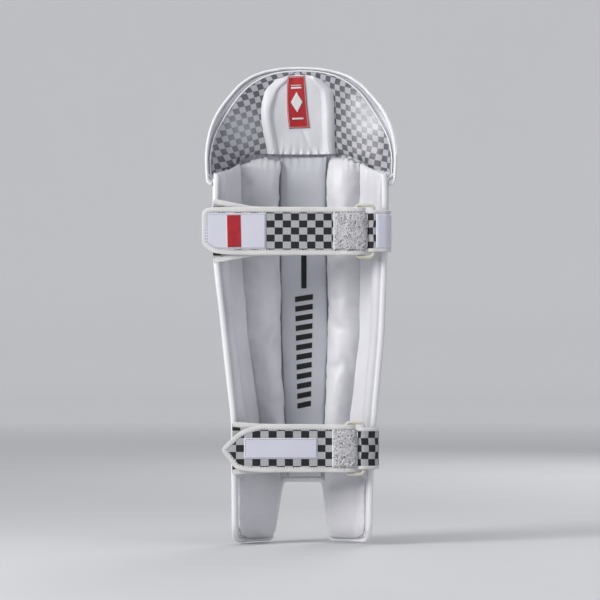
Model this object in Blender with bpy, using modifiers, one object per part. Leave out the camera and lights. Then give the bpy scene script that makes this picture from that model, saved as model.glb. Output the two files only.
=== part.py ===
"""Cricket leg pad for a right-handed or left-handed batter, modelled as its sewn and moulded pieces.

Metres, +Z up, origin on the floor between the feet. The wearer's leg is on the -Y side and the
bowler on the +Y side. The pad is a C in plan: t runs from -1 at the left wing edge over 0 at the
front to 1 at the right wing edge, and a depth is counted from the face inwards to the leg.
"""

import math

import bmesh
import bpy

# The whole pad
PAD_NAME = "cricket_leg_pad"
GAP = 0.0004
C_POWER = 2.5

# The shin part: (height, value) rows
LEFT_HALF = ((0.0, 0.101), (0.110, 0.102), (0.180, 0.102), (0.300, 0.115),
             (0.420, 0.1285), (0.560, 0.1285))
RIGHT_HALF = ((0.0, 0.104), (0.110, 0.106), (0.180, 0.110), (0.300, 0.121),
              (0.420, 0.1255), (0.560, 0.1280))
FACE_Y = ((0.0, 0.042), (0.110, 0.045), (0.300, 0.057), (0.440, 0.063), (0.560, 0.064))
WING_Y = ((0.0, -0.040), (0.130, -0.046), (0.300, -0.054), (0.440, -0.058),
          (0.530, -0.052), (0.560, -0.048))
SHIN_TOP = ((0.0, 0.560), (0.28, 0.5595), (0.48, 0.545), (0.75, 0.536), (1.0, 0.533))
HEIGHTS = (0.110, 0.130, 0.180, 0.240, 0.300, 0.360, 0.420, 0.440, 0.485, 0.530)
WING_THINNING = 0.5
SIDE_COLUMNS = 7

# Feet and instep, as shares of the half width
SOLE_THICK = 0.003
INSTEP_Z = 0.087
LEFT_FOOT_EDGE = (-0.485, -0.305)
RIGHT_FOOT_EDGE = (0.365, 0.475)

# Layers, from the face inwards
COVER_THICK = 0.0016
FLUTE_RISE = 0.009
FLUTE_COUNT = 7
FLUTE_SPAN = 0.73
FLUTE_FADE = (0.110, 0.130, 0.420, 0.440)
CANE_RADIUS = 0.0048
CANE_HEIGHTS = (0.132, 0.180, 0.240, 0.300, 0.360, 0.418)
FOAM_DEPTH = 0.0040
FOAM_THICK = 0.0100
LINING_DEPTH = 0.0146
LINING_THICK = 0.0020
INNER_DEPTH = 0.0174

# Cushions on the lining: (height, left x, right x) rows
LEFT_BOLSTER = ((0.096, -0.062, -0.018), (0.180, -0.068, -0.023), (0.300, -0.085, -0.028),
                (0.420, -0.095, -0.029), (0.545, -0.095, -0.030))
RIGHT_BOLSTER = ((0.096, 0.030, 0.071), (0.180, 0.034, 0.079), (0.300, 0.039, 0.093),
                 (0.420, 0.036, 0.0955), (0.545, 0.035, 0.0925))
LEFT_FOOT_PAD = ((0.0060, -0.0925, -0.0470), (0.0935, -0.0935, -0.0330))
RIGHT_FOOT_PAD = ((0.0060, 0.0510, 0.0955), (0.0935, 0.0405, 0.0985))
BOLSTER_RISE = 0.022
BOLSTER_COVER_THICK = 0.0012
CORE_INSET = 0.0030
CENTRE_PAD_RISE = 0.008
WING_PAD_RISE = 0.006
FOOT_PAD_RISE = 0.014
WING_PAD_LOW = 0.0965
CUSHION_GAP = 0.002
CUSHION_COLUMNS = (0.0, 0.04, 0.13, 0.3, 0.5, 0.7, 0.87, 0.96, 1.0)
BOLSTER_WIDTH = 0.06

# Knee rolls on the face
KNEE_ROLL_Z = (0.458, 0.492, 0.526)
KNEE_ROLL_TALL = 0.033
KNEE_ROLL_RISE = 0.016
KNEE_ROLL_SPAN = 0.56

# Top hat
HAT_HALF = ((0.520, 0.1375), (0.560, 0.1400), (0.700, 0.1400))
HAT_FACE_Y = ((0.520, 0.064), (0.700, 0.058))
HAT_WING_Y = ((0.520, -0.048), (0.700, -0.042))
HAT_BOTTOM = ((0.0, 0.568), (0.28, 0.5685), (0.48, 0.556), (0.75, 0.540), (1.0, 0.528))
HAT_SPRING_Z = 0.560
HAT_TOP_Z = 0.6935
HAT_POWER = 2.2
HAT_THINNING = 0.66
HAT_FOAM_DEPTH = 0.0021
HAT_FOAM_THICK = 0.0130
HAT_LINING_DEPTH = 0.0160
HAT_LINING_THICK = 0.0035
HAT_COLUMNS = 18
HAT_CENTRE_COLUMNS = 3
HAT_BINDING_RADIUS = 0.003

# Straps
RING_RADIUS = 0.0025
RING_WIDE = 0.025
RING_TALL = 0.074
RING_CORNER = 0.0042
WEB_THICK = 0.0024
FOLD_RADIUS = 0.0054
STRAP_HALF = 0.0335
STRAP_CLEAR = 0.0104
PAD_THICK = 0.0012
KEEPER_HALF = 0.0290
KEEPER_THICK = 0.0020
KEEPER_LOOP = 0.0048

# Straps: the tail's end is (x, lowest, highest) rows from the middle height, a patch is (x, x, low, high)
UPPER = {
    "name": "upper",
    "z": 0.454,
    "root_x": -0.1265,
    "root_half": 0.046,
    "root_end_x": -0.068,
    "ring_x": 0.079,
    "tail_end": ((-0.1000, -0.0335, 0.0335), (-0.1250, -0.0310, 0.0335),
                 (-0.1360, -0.0240, 0.0325), (-0.1415, -0.0190, 0.0280)),
    "patch": (-0.132, -0.050, -0.0260, 0.0260),
    "label": (-0.106, -0.086, -0.0230, 0.0230),
}
LOWER = {
    "name": "lower",
    "z": 0.1415,
    "root_x": -0.099,
    "root_half": 0.0375,
    "root_end_x": -0.060,
    "ring_x": 0.065,
    "tail_end": ((-0.0600, -0.0335, 0.0335), (-0.0840, -0.0315, 0.0260),
                 (-0.0940, -0.0290, 0.0190), (-0.1135, -0.0030, 0.0000)),
    "patch": (-0.082, 0.024, -0.0150, 0.0150),
    "label": None,
}

# Looks: (colour, roughness)
WHITE = ((0.80, 0.81, 0.84), 0.42)
BRIGHT = ((0.88, 0.88, 0.90), 0.40)
TAPE = ((0.78, 0.77, 0.72), 0.85)
CHECK = ((0.35, 0.35, 0.36), 0.75)
GREY = ((0.42, 0.42, 0.45), 0.50)
LILAC = ((0.62, 0.61, 0.72), 0.55)
RED = ((0.55, 0.02, 0.03), 0.60)
IVORY = ((0.80, 0.76, 0.64), 0.30)
FOAM = ((0.85, 0.83, 0.75), 0.90)
CANE = ((0.70, 0.52, 0.28), 0.60)
FLUFF = ((0.82, 0.82, 0.80), 0.95)
HOOK = ((0.70, 0.70, 0.70), 0.80)

def level(rows, at):
    """The value at a height or share, between the rows of a table."""
    low = rows[0]
    for high in rows[1:]:
        if at <= high[0]:
            share = max(0.0, (at - low[0]) / (high[0] - low[0]))
            return low[1] + (high[1] - low[1]) * share
        low = high
    return low[1]


def step(low, high, at):
    share = min(1.0, max(0.0, (at - low) / (high - low)))
    return share * share * (3 - 2 * share)


def share_of(t):
    """The share of the half width that the plan curve has reached at t."""
    return math.copysign(math.sin(abs(t) * math.pi / 2) ** (2 / C_POWER), t)


def t_of(share):
    return math.copysign(math.asin(min(1.0, abs(share)) ** (C_POWER / 2)) * 2 / math.pi, share)


def plan_point(share, half, face_y, wing_y, depth):
    """A point of the C in plan, moved inwards by depth along the curve's normal."""
    deep = face_y - wing_y
    rest = max(0.0, 1 - abs(share) ** C_POWER) ** (1 / C_POWER)
    normal_x = math.copysign(abs(share) ** (C_POWER - 1) / half, share)
    normal_y = rest ** (C_POWER - 1) / deep
    length = math.hypot(normal_x, normal_y)
    return (share * half - depth * normal_x / length, wing_y + deep * rest - depth * normal_y / length)


def shin_half(share, z):
    return level(LEFT_HALF if share < 0 else RIGHT_HALF, z)


def wing_taper(t, thinning=WING_THINNING):
    """Layers are full on the front and thin out to the wing edges."""
    return 1 - thinning * step(0.45, 0.85, abs(t))


def shin_point(share, z, depth):
    if depth > 0:
        depth *= wing_taper(t_of(share))
    x, y = plan_point(share, shin_half(share, z), level(FACE_Y, z), level(WING_Y, z), depth)
    return (x, y, z)


def foot_z(share):
    """The lower edge: the two feet, and the instep arch between them."""
    if share < 0:
        low, high = LEFT_FOOT_EDGE
        return SOLE_THICK + GAP + INSTEP_Z * step_line(low, high, share)
    low, high = RIGHT_FOOT_EDGE
    return SOLE_THICK + GAP + INSTEP_Z * step_line(high, low, share)


def step_line(low, high, at):
    return min(1.0, max(0.0, (at - low) / (high - low)))


def side_shares(first_t):
    """Shares from the front part's end to the wing edge."""
    return [share_of(first_t + (1 - first_t) * i / SIDE_COLUMNS) for i in range(1, SIDE_COLUMNS + 1)]


def flute_shares():
    """Columns of the face: each flute has its two edges and five points between them."""
    edge_points = (-1.0, -0.86, -0.5, 0.0, 0.5, 0.86)
    half_flute = FLUTE_SPAN / FLUTE_COUNT
    shares = []
    for flute in range(FLUTE_COUNT):
        centre = -FLUTE_SPAN + half_flute * (2 * flute + 1)
        shares += [centre + half_flute * q for q in edge_points]
    shares.append(FLUTE_SPAN)
    sides = side_shares(t_of(FLUTE_SPAN))
    return [-s for s in reversed(sides)] + shares + sides


def plain_shares():
    """Columns of an inner layer, with the feet's inner edges among them."""
    inner = [-0.73, -0.66, -0.58, *LEFT_FOOT_EDGE, -0.16, 0.0, 0.18, *RIGHT_FOOT_EDGE, 0.57, 0.66, 0.73]
    sides = side_shares(t_of(FLUTE_SPAN))
    return [-s for s in reversed(sides)] + inner + sides


def flute_rise(share, z):
    """How far the face stands out over a cane channel."""
    if abs(share) >= FLUTE_SPAN:
        return 0.0
    place = (share + FLUTE_SPAN) / (2 * FLUTE_SPAN) * FLUTE_COUNT
    q = 2 * (place - math.floor(place)) - 1
    low, low_end, high_end, high = FLUTE_FADE
    fade = step(low, low_end, z) * (1 - step(high_end, high, z))
    return FLUTE_RISE * math.sqrt(max(0.0, 1 - q * q)) * fade


def hat_point(share, z, depth):
    if depth > 0:
        depth *= wing_taper(t_of(share), HAT_THINNING)
    x, y = plan_point(share, level(HAT_HALF, z), level(HAT_FACE_Y, z), level(HAT_WING_Y, z), depth)
    return (x, y, z)


def hat_top(share):
    """The dome of the top hat."""
    rest = max(0.0, 1 - abs(share) ** HAT_POWER) ** (1 / HAT_POWER)
    return HAT_SPRING_Z + (HAT_TOP_Z - HAT_SPRING_Z) * rest


def collection_of(name):
    made = bpy.data.collections.new(name)
    bpy.context.scene.collection.children.link(made)
    return made


def clear_scene():
    for thing in list(bpy.data.objects):
        bpy.data.objects.remove(thing, do_unlink=True)


def material_of(name, colour, roughness):
    made = bpy.data.materials.new(name)
    made.use_nodes = True
    shader = made.node_tree.nodes["Principled BSDF"]
    shader.inputs["Base Color"].default_value = (*colour, 1.0)
    shader.inputs["Roughness"].default_value = roughness
    shader.inputs["Metallic"].default_value = 0.0
    return made


def finish(thing, parts, look, smooth=True):
    colour, roughness = look
    thing.data.materials.append(material_of(thing.name, colour, roughness))
    if smooth and thing.type == "MESH":
        thing.data.shade_smooth()
        thing.data.set_sharp_from_angle(angle=math.radians(40))
    parts.objects.link(thing)
    return thing


def slab(name, columns, rows, face, back):
    """A closed sheet: a grid with corner (u, v) at face(u, v), and its extruded copy at back(u, v)."""
    grid = bmesh.new()
    bmesh.ops.create_grid(grid, x_segments=len(columns) - 1, y_segments=len(rows) - 1, size=0.5)
    values = {}
    for corner in grid.verts:
        u = columns[round((corner.co.x + 0.5) * (len(columns) - 1))]
        v = rows[round((corner.co.y + 0.5) * (len(rows) - 1))]
        values[(corner.co.x, corner.co.y)] = (u, v)
    copy = bmesh.ops.extrude_face_region(grid, geom=grid.faces[:], use_keep_orig=True)["geom"]
    backs = {part for part in copy if isinstance(part, bmesh.types.BMVert)}
    for corner in grid.verts:
        place = back if corner in backs else face
        corner.co = place(*values[(corner.co.x, corner.co.y)])
    bmesh.ops.recalc_face_normals(grid, faces=grid.faces[:])
    if grid.calc_volume(signed=True) < 0:
        bmesh.ops.reverse_faces(grid, faces=grid.faces[:])
    mesh = bpy.data.meshes.new(name)
    grid.to_mesh(mesh)
    grid.free()
    return bpy.data.objects.new(name, mesh)


def row_z(share, row):
    """A shin layer's rows: the lower edge, the shared heights, and the knee seam."""
    if row == 0:
        return foot_z(share)
    if row <= len(HEIGHTS):
        return HEIGHTS[row - 1]
    return level(SHIN_TOP, abs(t_of(share)))


def no_rise(share, z):
    return 0.0


def shin_layer(name, parts, look, depth, thickness, columns, rise=no_rise):
    """A layer of the shin part, from the feet to the knee seam."""
    def at_depth(inwards):
        def place(share, row):
            z = row_z(share, row)
            return shin_point(share, z, inwards - rise(share, z))
        return place

    rows = range(len(HEIGHTS) + 2)
    made = slab(name, columns, rows, at_depth(depth), at_depth(depth + thickness))
    return finish(made, parts, look)


def canes(parts):
    """Seven rods, each in the channel under its flute."""
    pitch = 2 * FLUTE_SPAN / FLUTE_COUNT
    depth = (COVER_THICK + FOAM_DEPTH - FLUTE_RISE) / 2
    for number in range(FLUTE_COUNT):
        share = -FLUTE_SPAN + pitch * (number + 0.5)
        places = [shin_point(share, z, depth) for z in CANE_HEIGHTS]
        tube(f"cane_{number + 1}", parts, CANE, places, CANE_RADIUS)


def tube(name, parts, look, places, radius, closed=False, resolution=2):
    """A round rod, piping or ring along its centre line."""
    curve = bpy.data.curves.new(name, "CURVE")
    curve.dimensions = "3D"
    line = curve.splines.new("POLY")
    line.points.add(len(places) - 1)
    for point, place in zip(line.points, places):
        point.co = (*place, 1.0)
    line.use_cyclic_u = closed
    curve.bevel_depth = radius
    curve.bevel_resolution = resolution
    curve.use_fill_caps = not closed
    return finish(bpy.data.objects.new(name, curve), parts, look)


def crown(u, v, side_power, end_power):
    """A cushion's height: 1 in its middle, 0 at its edges."""
    sides = max(0.0, 1 - abs(2 * u - 1) ** side_power) ** 0.5
    ends = max(0.0, 1 - abs(2 * v - 1) ** end_power) ** 0.5
    return sides * ends


def cushion_rows(low, high):
    """Close rows at a cushion's ends, and the shared heights between them."""
    middle = [z for z in HEIGHTS if low + 0.0095 < z < high - 0.0095]
    return [low, low + 0.002, low + 0.008, *middle, high - 0.008, high - 0.002, high]


def share_at(x, z, depth):
    """The share whose point at this height and depth has this x."""
    low, high = -0.9999, 0.9999
    for _ in range(40):
        share = (low + high) / 2
        if shin_point(share, z, depth)[0] < x:
            low = share
        else:
            high = share
    return (low + high) / 2


def cushion(name, parts, look, edges, inset, base, rise_at, thickness=None):
    """A crowned pad between its left and right edge lines, or only its skin if it has a thickness."""
    low, high = edges[0][0] + inset, edges[-1][0] - inset
    left = tuple((row[0], row[1]) for row in edges)
    right = tuple((row[0], row[2]) for row in edges)

    def spot(u, z, depth):
        x0 = level(left, z) + inset
        x1 = level(right, z) - inset
        return shin_point(share_at(x0 + (x1 - x0) * u, z, depth), z, depth)

    def crowned(u, z):
        return spot(u, z, base + rise_at(u, (z - low) / (high - low)))

    def flat(u, z):
        if thickness is None:
            return spot(u, z, base)
        rise = max(0.0, rise_at(u, (z - low) / (high - low)) - thickness)
        middle = (low + high) / 2
        u = 0.5 + (u - 0.5) * (1 - 2 * thickness / BOLSTER_WIDTH)
        z = middle + (z - middle) * (1 - 2 * thickness / (high - low))
        return spot(u, z, base + rise)

    return finish(slab(name, CUSHION_COLUMNS, cushion_rows(low, high), flat, crowned), parts, look)


def bolster(side, parts, edges):
    """A sewn cover, open where it meets the lining, and the foam that fills it."""
    def cover_rise(u, v):
        return 0.0015 + BOLSTER_RISE * crown(u, v, 4, 16)

    def core_rise(u, v):
        return 0.002 + (BOLSTER_RISE - 0.005) * crown(u, v, 4, 16)

    cushion(f"{side}_bolster_foam", parts, FOAM, edges, CORE_INSET, INNER_DEPTH, core_rise)
    cushion(f"{side}_bolster_cover", parts, WHITE, edges, 0.0, INNER_DEPTH, cover_rise, BOLSTER_COVER_THICK)


def between(left_rows, right_rows):
    """Edge rows of the cushion between two others, a gap away from both."""
    rows = []
    for left, right in zip(left_rows, right_rows):
        rows.append((left[0], left[2] + CUSHION_GAP, right[1] - CUSHION_GAP))
    return tuple(rows)


def wing_pad(side, parts, bolster_rows):
    """The thin pad from a bolster to the wing edge, above the foot."""
    sign = -1 if side == "left" else 1
    edge_x = tuple((row[0], row[1 if sign < 0 else 2]) for row in bolster_rows)
    low, high = WING_PAD_LOW, HEIGHTS[-1]
    columns = [i / 9 for i in range(10)]

    def spot(u, z, rise):
        inner = share_at(level(edge_x, z) + sign * CUSHION_GAP, z, INNER_DEPTH)
        first, last = sorted((t_of(inner), sign * 0.985))
        return shin_point(share_of(first + (last - first) * u), z, INNER_DEPTH + rise)

    def back(u, z):
        return spot(u, z, WING_PAD_RISE * (0.4 + 0.6 * crown(u, (z - low) / (high - low), 4, 12)))

    made = slab(f"{side}_wing_pad", columns, cushion_rows(low, high), lambda u, z: spot(u, z, 0.0), back)
    finish(made, parts, WHITE)


def foot_pad(side, parts, edges):
    """The roll that fills a foot below the bolster."""
    cushion(f"{side}_foot_pad", parts, WHITE, edges, 0.0, INNER_DEPTH,
            lambda u, v: 0.002 + FOOT_PAD_RISE * crown(u, v, 3, 8))


def knee_roll(name, parts, centre_z):
    """A padded roll across the front, flat against the face."""
    columns = [share_of(KNEE_ROLL_SPAN * (i / 8 - 1)) for i in range(17)]
    rows = (0.0, 0.08, 0.25, 0.5, 0.75, 0.92, 1.0)
    tall = KNEE_ROLL_TALL

    def spot(share, v, outwards):
        return shin_point(share, centre_z + tall * (v - 0.5), -outwards)

    def outer(share, v):
        u = (t_of(share) / KNEE_ROLL_SPAN + 1) / 2
        return spot(share, v, GAP + 0.002 + (KNEE_ROLL_RISE - 0.002) * crown(v, u, 2.6, 10))

    made = slab(name, columns, rows, outer, lambda share, v: spot(share, v, GAP))
    finish(made, parts, WHITE)


def edge_bindings(parts):
    """Tubes of tape along the wing edges, and one round the instep."""
    radius = 0.0045
    for side, sign in (("left", -1), ("right", 1)):
        places = []
        for z in (0.008, *HEIGHTS):
            x, y, _ = shin_point(sign, z, 0.010)
            places.append((x, y - radius - 0.0006, z))
        tube(f"{side}_edge_binding", parts, BRIGHT, places, radius)
    left_low, left_high = LEFT_FOOT_EDGE
    right_high, right_low = RIGHT_FOOT_EDGE
    shares = [left_low, (left_low + left_high) / 2, left_high, -0.15, 0.02, 0.19]
    shares += [right_high, (right_high + right_low) / 2, right_low]
    radius = 0.0035
    lean = (0.8, 0.8, 0.7, 0.0, 0.0, 0.0, -0.7, -0.8, -0.8)
    places = []
    for share, sideways in zip(shares, lean):
        low = foot_z(share)
        down = 0.0 if abs(sideways) > 0.75 else 1.0
        clear = radius + 0.001
        x, y, z = shin_point(share, max(0.009, low - clear * down), 0.009)
        places.append((x + sideways * clear * 1.6, y, z))
    tube("instep_binding", parts, BRIGHT, places, radius)


def foot_binding(side, parts):
    """The flat tape that closes a foot's lower edge, and stands on the floor."""
    sign = -1 if side == "left" else 1
    inner = LEFT_FOOT_EDGE[0] if sign < 0 else RIGHT_FOOT_EDGE[1]
    first, last = t_of(inner), sign * 1.0
    outer_line = []
    inner_line = []
    for i in range(9):
        share = share_of(first + (last - first) * i / 8)
        outer_line.append(shin_point(share, 0.0, -0.0005)[:2])
        inner_line.append(shin_point(share, 0.0, 0.022)[:2])
    outline = outer_line + inner_line[::-1]
    curve = bpy.data.curves.new(f"{side}_foot_binding", "CURVE")
    curve.dimensions = "2D"
    curve.fill_mode = "BOTH"
    curve.extrude = SOLE_THICK / 2
    line = curve.splines.new("POLY")
    line.points.add(len(outline) - 1)
    for point, place in zip(line.points, outline):
        point.co = (*place, 0.0, 1.0)
    line.use_cyclic_u = True
    made = bpy.data.objects.new(f"{side}_foot_binding", curve)
    made.location.z = SOLE_THICK / 2
    finish(made, parts, TAPE)


def knee_gather(parts):
    """The gathered strip of cover on which the top hat hinges."""
    columns = [share_of(0.30 * (i / 5 - 1)) for i in range(11)]
    rows = (0.5618, 0.5650)
    made = slab("knee_hinge_gather", columns, rows, lambda share, z: shin_point(share, z, 0.002),
                lambda share, z: shin_point(share, z, 0.014))
    finish(made, parts, WHITE)


def hat_layer(name, parts, look, depth, thickness, first, last, margin=0.0):
    """A layer of the top hat between two columns of the C, counted from the front."""
    columns = [share_of(i / HAT_COLUMNS) for i in range(first, last + 1)]
    if margin:
        columns[0] += 1.5 * margin / HAT_HALF[-1][1]
        columns[-1] -= 1.5 * margin / HAT_HALF[-1][1]
    rows = (0.0, 0.2, 0.4, 0.6, 0.8, 1.0)

    def at_depth(inwards):
        def place(share, v):
            low = level(HAT_BOTTOM, abs(t_of(share))) + margin
            return hat_point(share, low + (hat_top(share) - margin - low) * v, inwards)
        return place

    return finish(slab(name, columns, rows, at_depth(depth), at_depth(depth + thickness)), parts, look)


def top_hat(parts):
    edge, centre = HAT_COLUMNS, HAT_CENTRE_COLUMNS
    hat_layer("top_hat_face", parts, WHITE, 0.0, COVER_THICK, -edge, edge)
    hat_layer("top_hat_foam", parts, FOAM, HAT_FOAM_DEPTH, HAT_FOAM_THICK, -edge, edge)
    depth, thickness = HAT_LINING_DEPTH, HAT_LINING_THICK
    hat_layer("top_hat_centre_lining", parts, BRIGHT, depth, thickness, -centre, centre, 0.0004)
    hat_layer("top_hat_left_lining", parts, GREY, depth, thickness, -edge, -centre, 0.0004)
    hat_layer("top_hat_right_lining", parts, GREY, depth, thickness, centre, edge, 0.0004)
    hat_binding(parts)
    hat_patch(parts)


def hat_binding(parts):
    """Tape over the dome and down both wing edges to the tips."""
    clear = HAT_BINDING_RADIUS + 0.0008
    depth = HAT_FOAM_DEPTH + HAT_FOAM_THICK / 2
    tips = []
    for z in (0.531, 0.546):
        x, y, _ = hat_point(1.0, z, depth)
        tips.append((x, y - clear, z))
    places = [(-x, y, z) for x, y, z in tips]
    count = 2 * HAT_COLUMNS
    for i in range(count + 1):
        share = share_of(2 * i / count - 1)
        x, y, z = hat_point(share, hat_top(share), depth)
        along, up = dome_normal(share)
        if abs(share) > 0.9999:
            places.append((x, y - clear, z))
        else:
            ahead_x, ahead_y = plan_direction(share, z)
            places.append((x + ahead_x * along * clear, y + ahead_y * along * clear, z + up * clear))
    places += tips[::-1]
    tube("top_hat_edge_binding", parts, BRIGHT, places, HAT_BINDING_RADIUS)


def plan_direction(share, z):
    """The direction of the top hat's C in plan, towards the right."""
    before = hat_point(share - 0.001, z, 0.0)
    after = hat_point(share + 0.001, z, 0.0)
    run = math.dist(before, after)
    return ((after[0] - before[0]) / run, (after[1] - before[1]) / run)


def dome_normal(share):
    """The dome's outward normal as (along the C, up)."""
    small = 0.001
    before = max(-1.0, share - small)
    after = min(1.0, share + small)
    low, high = hat_point(before, hat_top(before), 0.0), hat_point(after, hat_top(after), 0.0)
    run = math.dist(low[:2], high[:2])
    climb = high[2] - low[2]
    length = math.hypot(run, climb)
    return (-climb / length, run / length)


def hat_patch(parts):
    """A plain sewn patch on the centre panel."""
    low, high = 0.606, 0.682
    half = 0.0195
    depth = HAT_LINING_DEPTH + HAT_LINING_THICK + 0.0006

    def at_depth(inwards):
        return lambda u, z: hat_point(u * half / level(HAT_HALF, z), z, inwards)

    columns = (-1.0, -0.5, 0.0, 0.5, 1.0)
    made = slab("top_hat_patch", columns, (low, high), at_depth(depth), at_depth(depth + 0.0008))
    finish(made, parts, RED)


def ribbon(name, parts, look, path, thickness, low_z, high_z):
    """Webbing: a path in plan given a height from low_z to high_z at each of its points."""
    sheet = bmesh.new()
    bmesh.ops.create_grid(sheet, x_segments=len(path) - 1, y_segments=1, size=0.5)
    for corner in sheet.verts:
        i = round((corner.co.x + 0.5) * (len(path) - 1))
        corner.co = (*path[i], high_z[i] if corner.co.y > 0 else low_z[i])
    mesh = bpy.data.meshes.new(name)
    sheet.to_mesh(mesh)
    sheet.free()
    made = bpy.data.objects.new(name, mesh)
    solid = made.modifiers.new("thickness", "SOLIDIFY")
    solid.thickness = thickness
    solid.offset = 0
    solid.use_even_offset = True
    return finish(made, parts, look)


def plate(name, parts, look, outline, low_y, thickness):
    """A thin sewn-on patch between x, x, low and high, from low_y inwards."""
    x0, x1, low, high = outline
    path = [(x0, low_y + thickness / 2), (x1, low_y + thickness / 2)]
    ribbon(name, parts, look, path, thickness, (low, low), (high, high))


def ring(name, parts, left_x, plane_y, centre_z):
    """A rounded loop of moulded rod, its two upright bars along the strap's width."""
    corner = RING_CORNER
    half_tall = RING_TALL / 2 - corner
    middle_x = left_x + RING_WIDE / 2
    half_wide = RING_WIDE / 2 - corner
    places = []
    for quarter, (sx, sz) in enumerate(((1, 1), (-1, 1), (-1, -1), (1, -1))):
        for i in range(4):
            angle = math.pi / 2 * (quarter + i / 3)
            x = middle_x + sx * half_wide + corner * math.cos(angle)
            places.append((x, plane_y, centre_z + sz * half_tall + corner * math.sin(angle)))
    return tube(name, parts, IVORY, places, RING_RADIUS, closed=True)


def arc(centre, radius, first, last, count):
    """Points of an arc in plan, angles in degrees from +X towards +Y."""
    points = []
    for i in range(count + 1):
        angle = math.radians(first + (last - first) * i / count)
        points.append((centre[0] + radius * math.cos(angle), centre[1] + radius * math.sin(angle)))
    return points


def strap_plane(strap):
    """The y of the back of the wings where a strap crosses them."""
    low, tall = strap["z"] - strap["root_half"], 2 * strap["root_half"]
    return min(level(WING_Y, low + tall * i / 8) for i in range(9)) - STRAP_CLEAR


def strap_band(strap, parts):
    """The band sewn to the left wing, wide at its root, up to the ring."""
    inner_y = strap_plane(strap) - 0.0006
    middle_y = inner_y - WEB_THICK / 2
    end_x = strap["ring_x"] - 0.0068
    xs = (strap["root_x"], strap["root_end_x"], end_x)
    halves = (strap["root_half"], STRAP_HALF + 0.001, STRAP_HALF)
    low = [strap["z"] - half for half in halves]
    high = [strap["z"] + half for half in halves]
    name = strap["name"]
    ribbon(f"{name}_strap_band", parts, CHECK, [(x, middle_y) for x in xs], WEB_THICK, low, high)
    pad_y = inner_y - WEB_THICK - GAP - PAD_THICK
    pad = (strap["root_x"] + 0.014, 0.035, strap["z"] - 0.028, strap["z"] + 0.028)
    plate(f"{name}_strap_loop_pad", parts, FLUFF, pad, pad_y, PAD_THICK)
    return pad_y


def strap_tail(strap, parts, loop_face_y):
    """The band's free end, folded round the ring's left bar and back over the band."""
    name = strap["name"]
    ring_x, ring_y = strap["ring_x"], ring_plane(strap)
    hook_y = loop_face_y - GAP - PAD_THICK
    middle_y = hook_y - GAP - WEB_THICK / 2
    path = arc((ring_x, ring_y), FOLD_RADIUS, 80, -90, 8)
    path += [(ring_x - 0.012, ring_y - FOLD_RADIUS + 0.0004), (ring_x - 0.024, middle_y - 0.0012)]
    path.append((ring_x - 0.034, middle_y))
    low = [strap["z"] - STRAP_HALF] * len(path)
    high = [strap["z"] + STRAP_HALF] * len(path)
    for x, below, above in strap["tail_end"]:
        path.append((x, middle_y))
        low.append(strap["z"] + below)
        high.append(strap["z"] + above)
    ribbon(f"{name}_tail_band", parts, CHECK, path, WEB_THICK, low, high)
    hook_end = strap["tail_end"][1][0] + 0.004
    hook = (hook_end, hook_end + 0.075, strap["z"] - 0.024, strap["z"] + 0.024)
    plate(f"{name}_tail_hook_pad", parts, HOOK, hook, hook_y, PAD_THICK)
    patch_y = middle_y - WEB_THICK / 2 - GAP - 0.001
    plate(f"{name}_tail_patch", parts, LILAC, raised(strap, "patch"), patch_y, 0.001)
    if strap["label"]:
        plate(f"{name}_tail_label", parts, RED, raised(strap, "label"), patch_y - GAP - 0.0006, 0.0006)


def raised(strap, what):
    """A patch's corners (x, x, low, high) at its strap's height."""
    x0, x1, below, above = strap[what]
    return (x0, x1, strap["z"] + below, strap["z"] + above)


def ring_plane(strap):
    """The ring lies so that the folded band's back half is in line with the band."""
    return strap_plane(strap) - 0.0006 - WEB_THICK / 2 - FOLD_RADIUS


def keeper(strap, parts):
    """The loop of webbing that holds the ring's right bar to the right wing."""
    ring_y = ring_plane(strap)
    bar = (strap["ring_x"] + RING_WIDE, ring_y)
    edge_y = strap_plane(strap) + STRAP_CLEAR
    outside_x = shin_half(1, strap["z"] + KEEPER_HALF) + 0.0020
    path = [(outside_x, edge_y + 0.030), (outside_x, edge_y - 0.004)]
    path += [(outside_x - 0.003, edge_y - 0.0105), (outside_x - 0.008, edge_y - 0.0135)]
    path += arc(bar, KEEPER_LOOP, 290, 110, 8)
    path.append((bar[0] + 0.006, bar[1] + KEEPER_LOOP + 0.0006))
    low = [strap["z"] - KEEPER_HALF] * len(path)
    high = [strap["z"] + KEEPER_HALF] * len(path)
    ribbon(f"{strap['name']}_strap_keeper", parts, CHECK, path, KEEPER_THICK, low, high)


def straps(parts):
    for strap in (UPPER, LOWER):
        face_y = strap_band(strap, parts)
        strap_tail(strap, parts, face_y)
        ring(f"{strap['name']}_ring", parts, strap["ring_x"], ring_plane(strap), strap["z"])
        keeper(strap, parts)


def shin(parts):
    shin_layer("face_cover", parts, WHITE, 0.0, COVER_THICK, flute_shares(), flute_rise)
    canes(parts)
    shin_layer("face_foam", parts, FOAM, FOAM_DEPTH, FOAM_THICK, plain_shares())
    shin_layer("shin_lining", parts, WHITE, LINING_DEPTH, LINING_THICK, plain_shares())
    bolster("left", parts, LEFT_BOLSTER)
    bolster("right", parts, RIGHT_BOLSTER)
    cushion("centre_shin_pad", parts, WHITE, between(LEFT_BOLSTER, RIGHT_BOLSTER), 0.0, INNER_DEPTH,
            lambda u, v: CENTRE_PAD_RISE * (0.3 + 0.7 * crown(u, v, 3, 10)))
    wing_pad("left", parts, LEFT_BOLSTER)
    wing_pad("right", parts, RIGHT_BOLSTER)
    foot_pad("left", parts, LEFT_FOOT_PAD)
    foot_pad("right", parts, RIGHT_FOOT_PAD)
    for name, height in zip(("lower", "middle", "upper"), KNEE_ROLL_Z):
        knee_roll(f"knee_roll_{name}", parts, height)
    edge_bindings(parts)
    foot_binding("left", parts)
    foot_binding("right", parts)
    knee_gather(parts)


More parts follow.
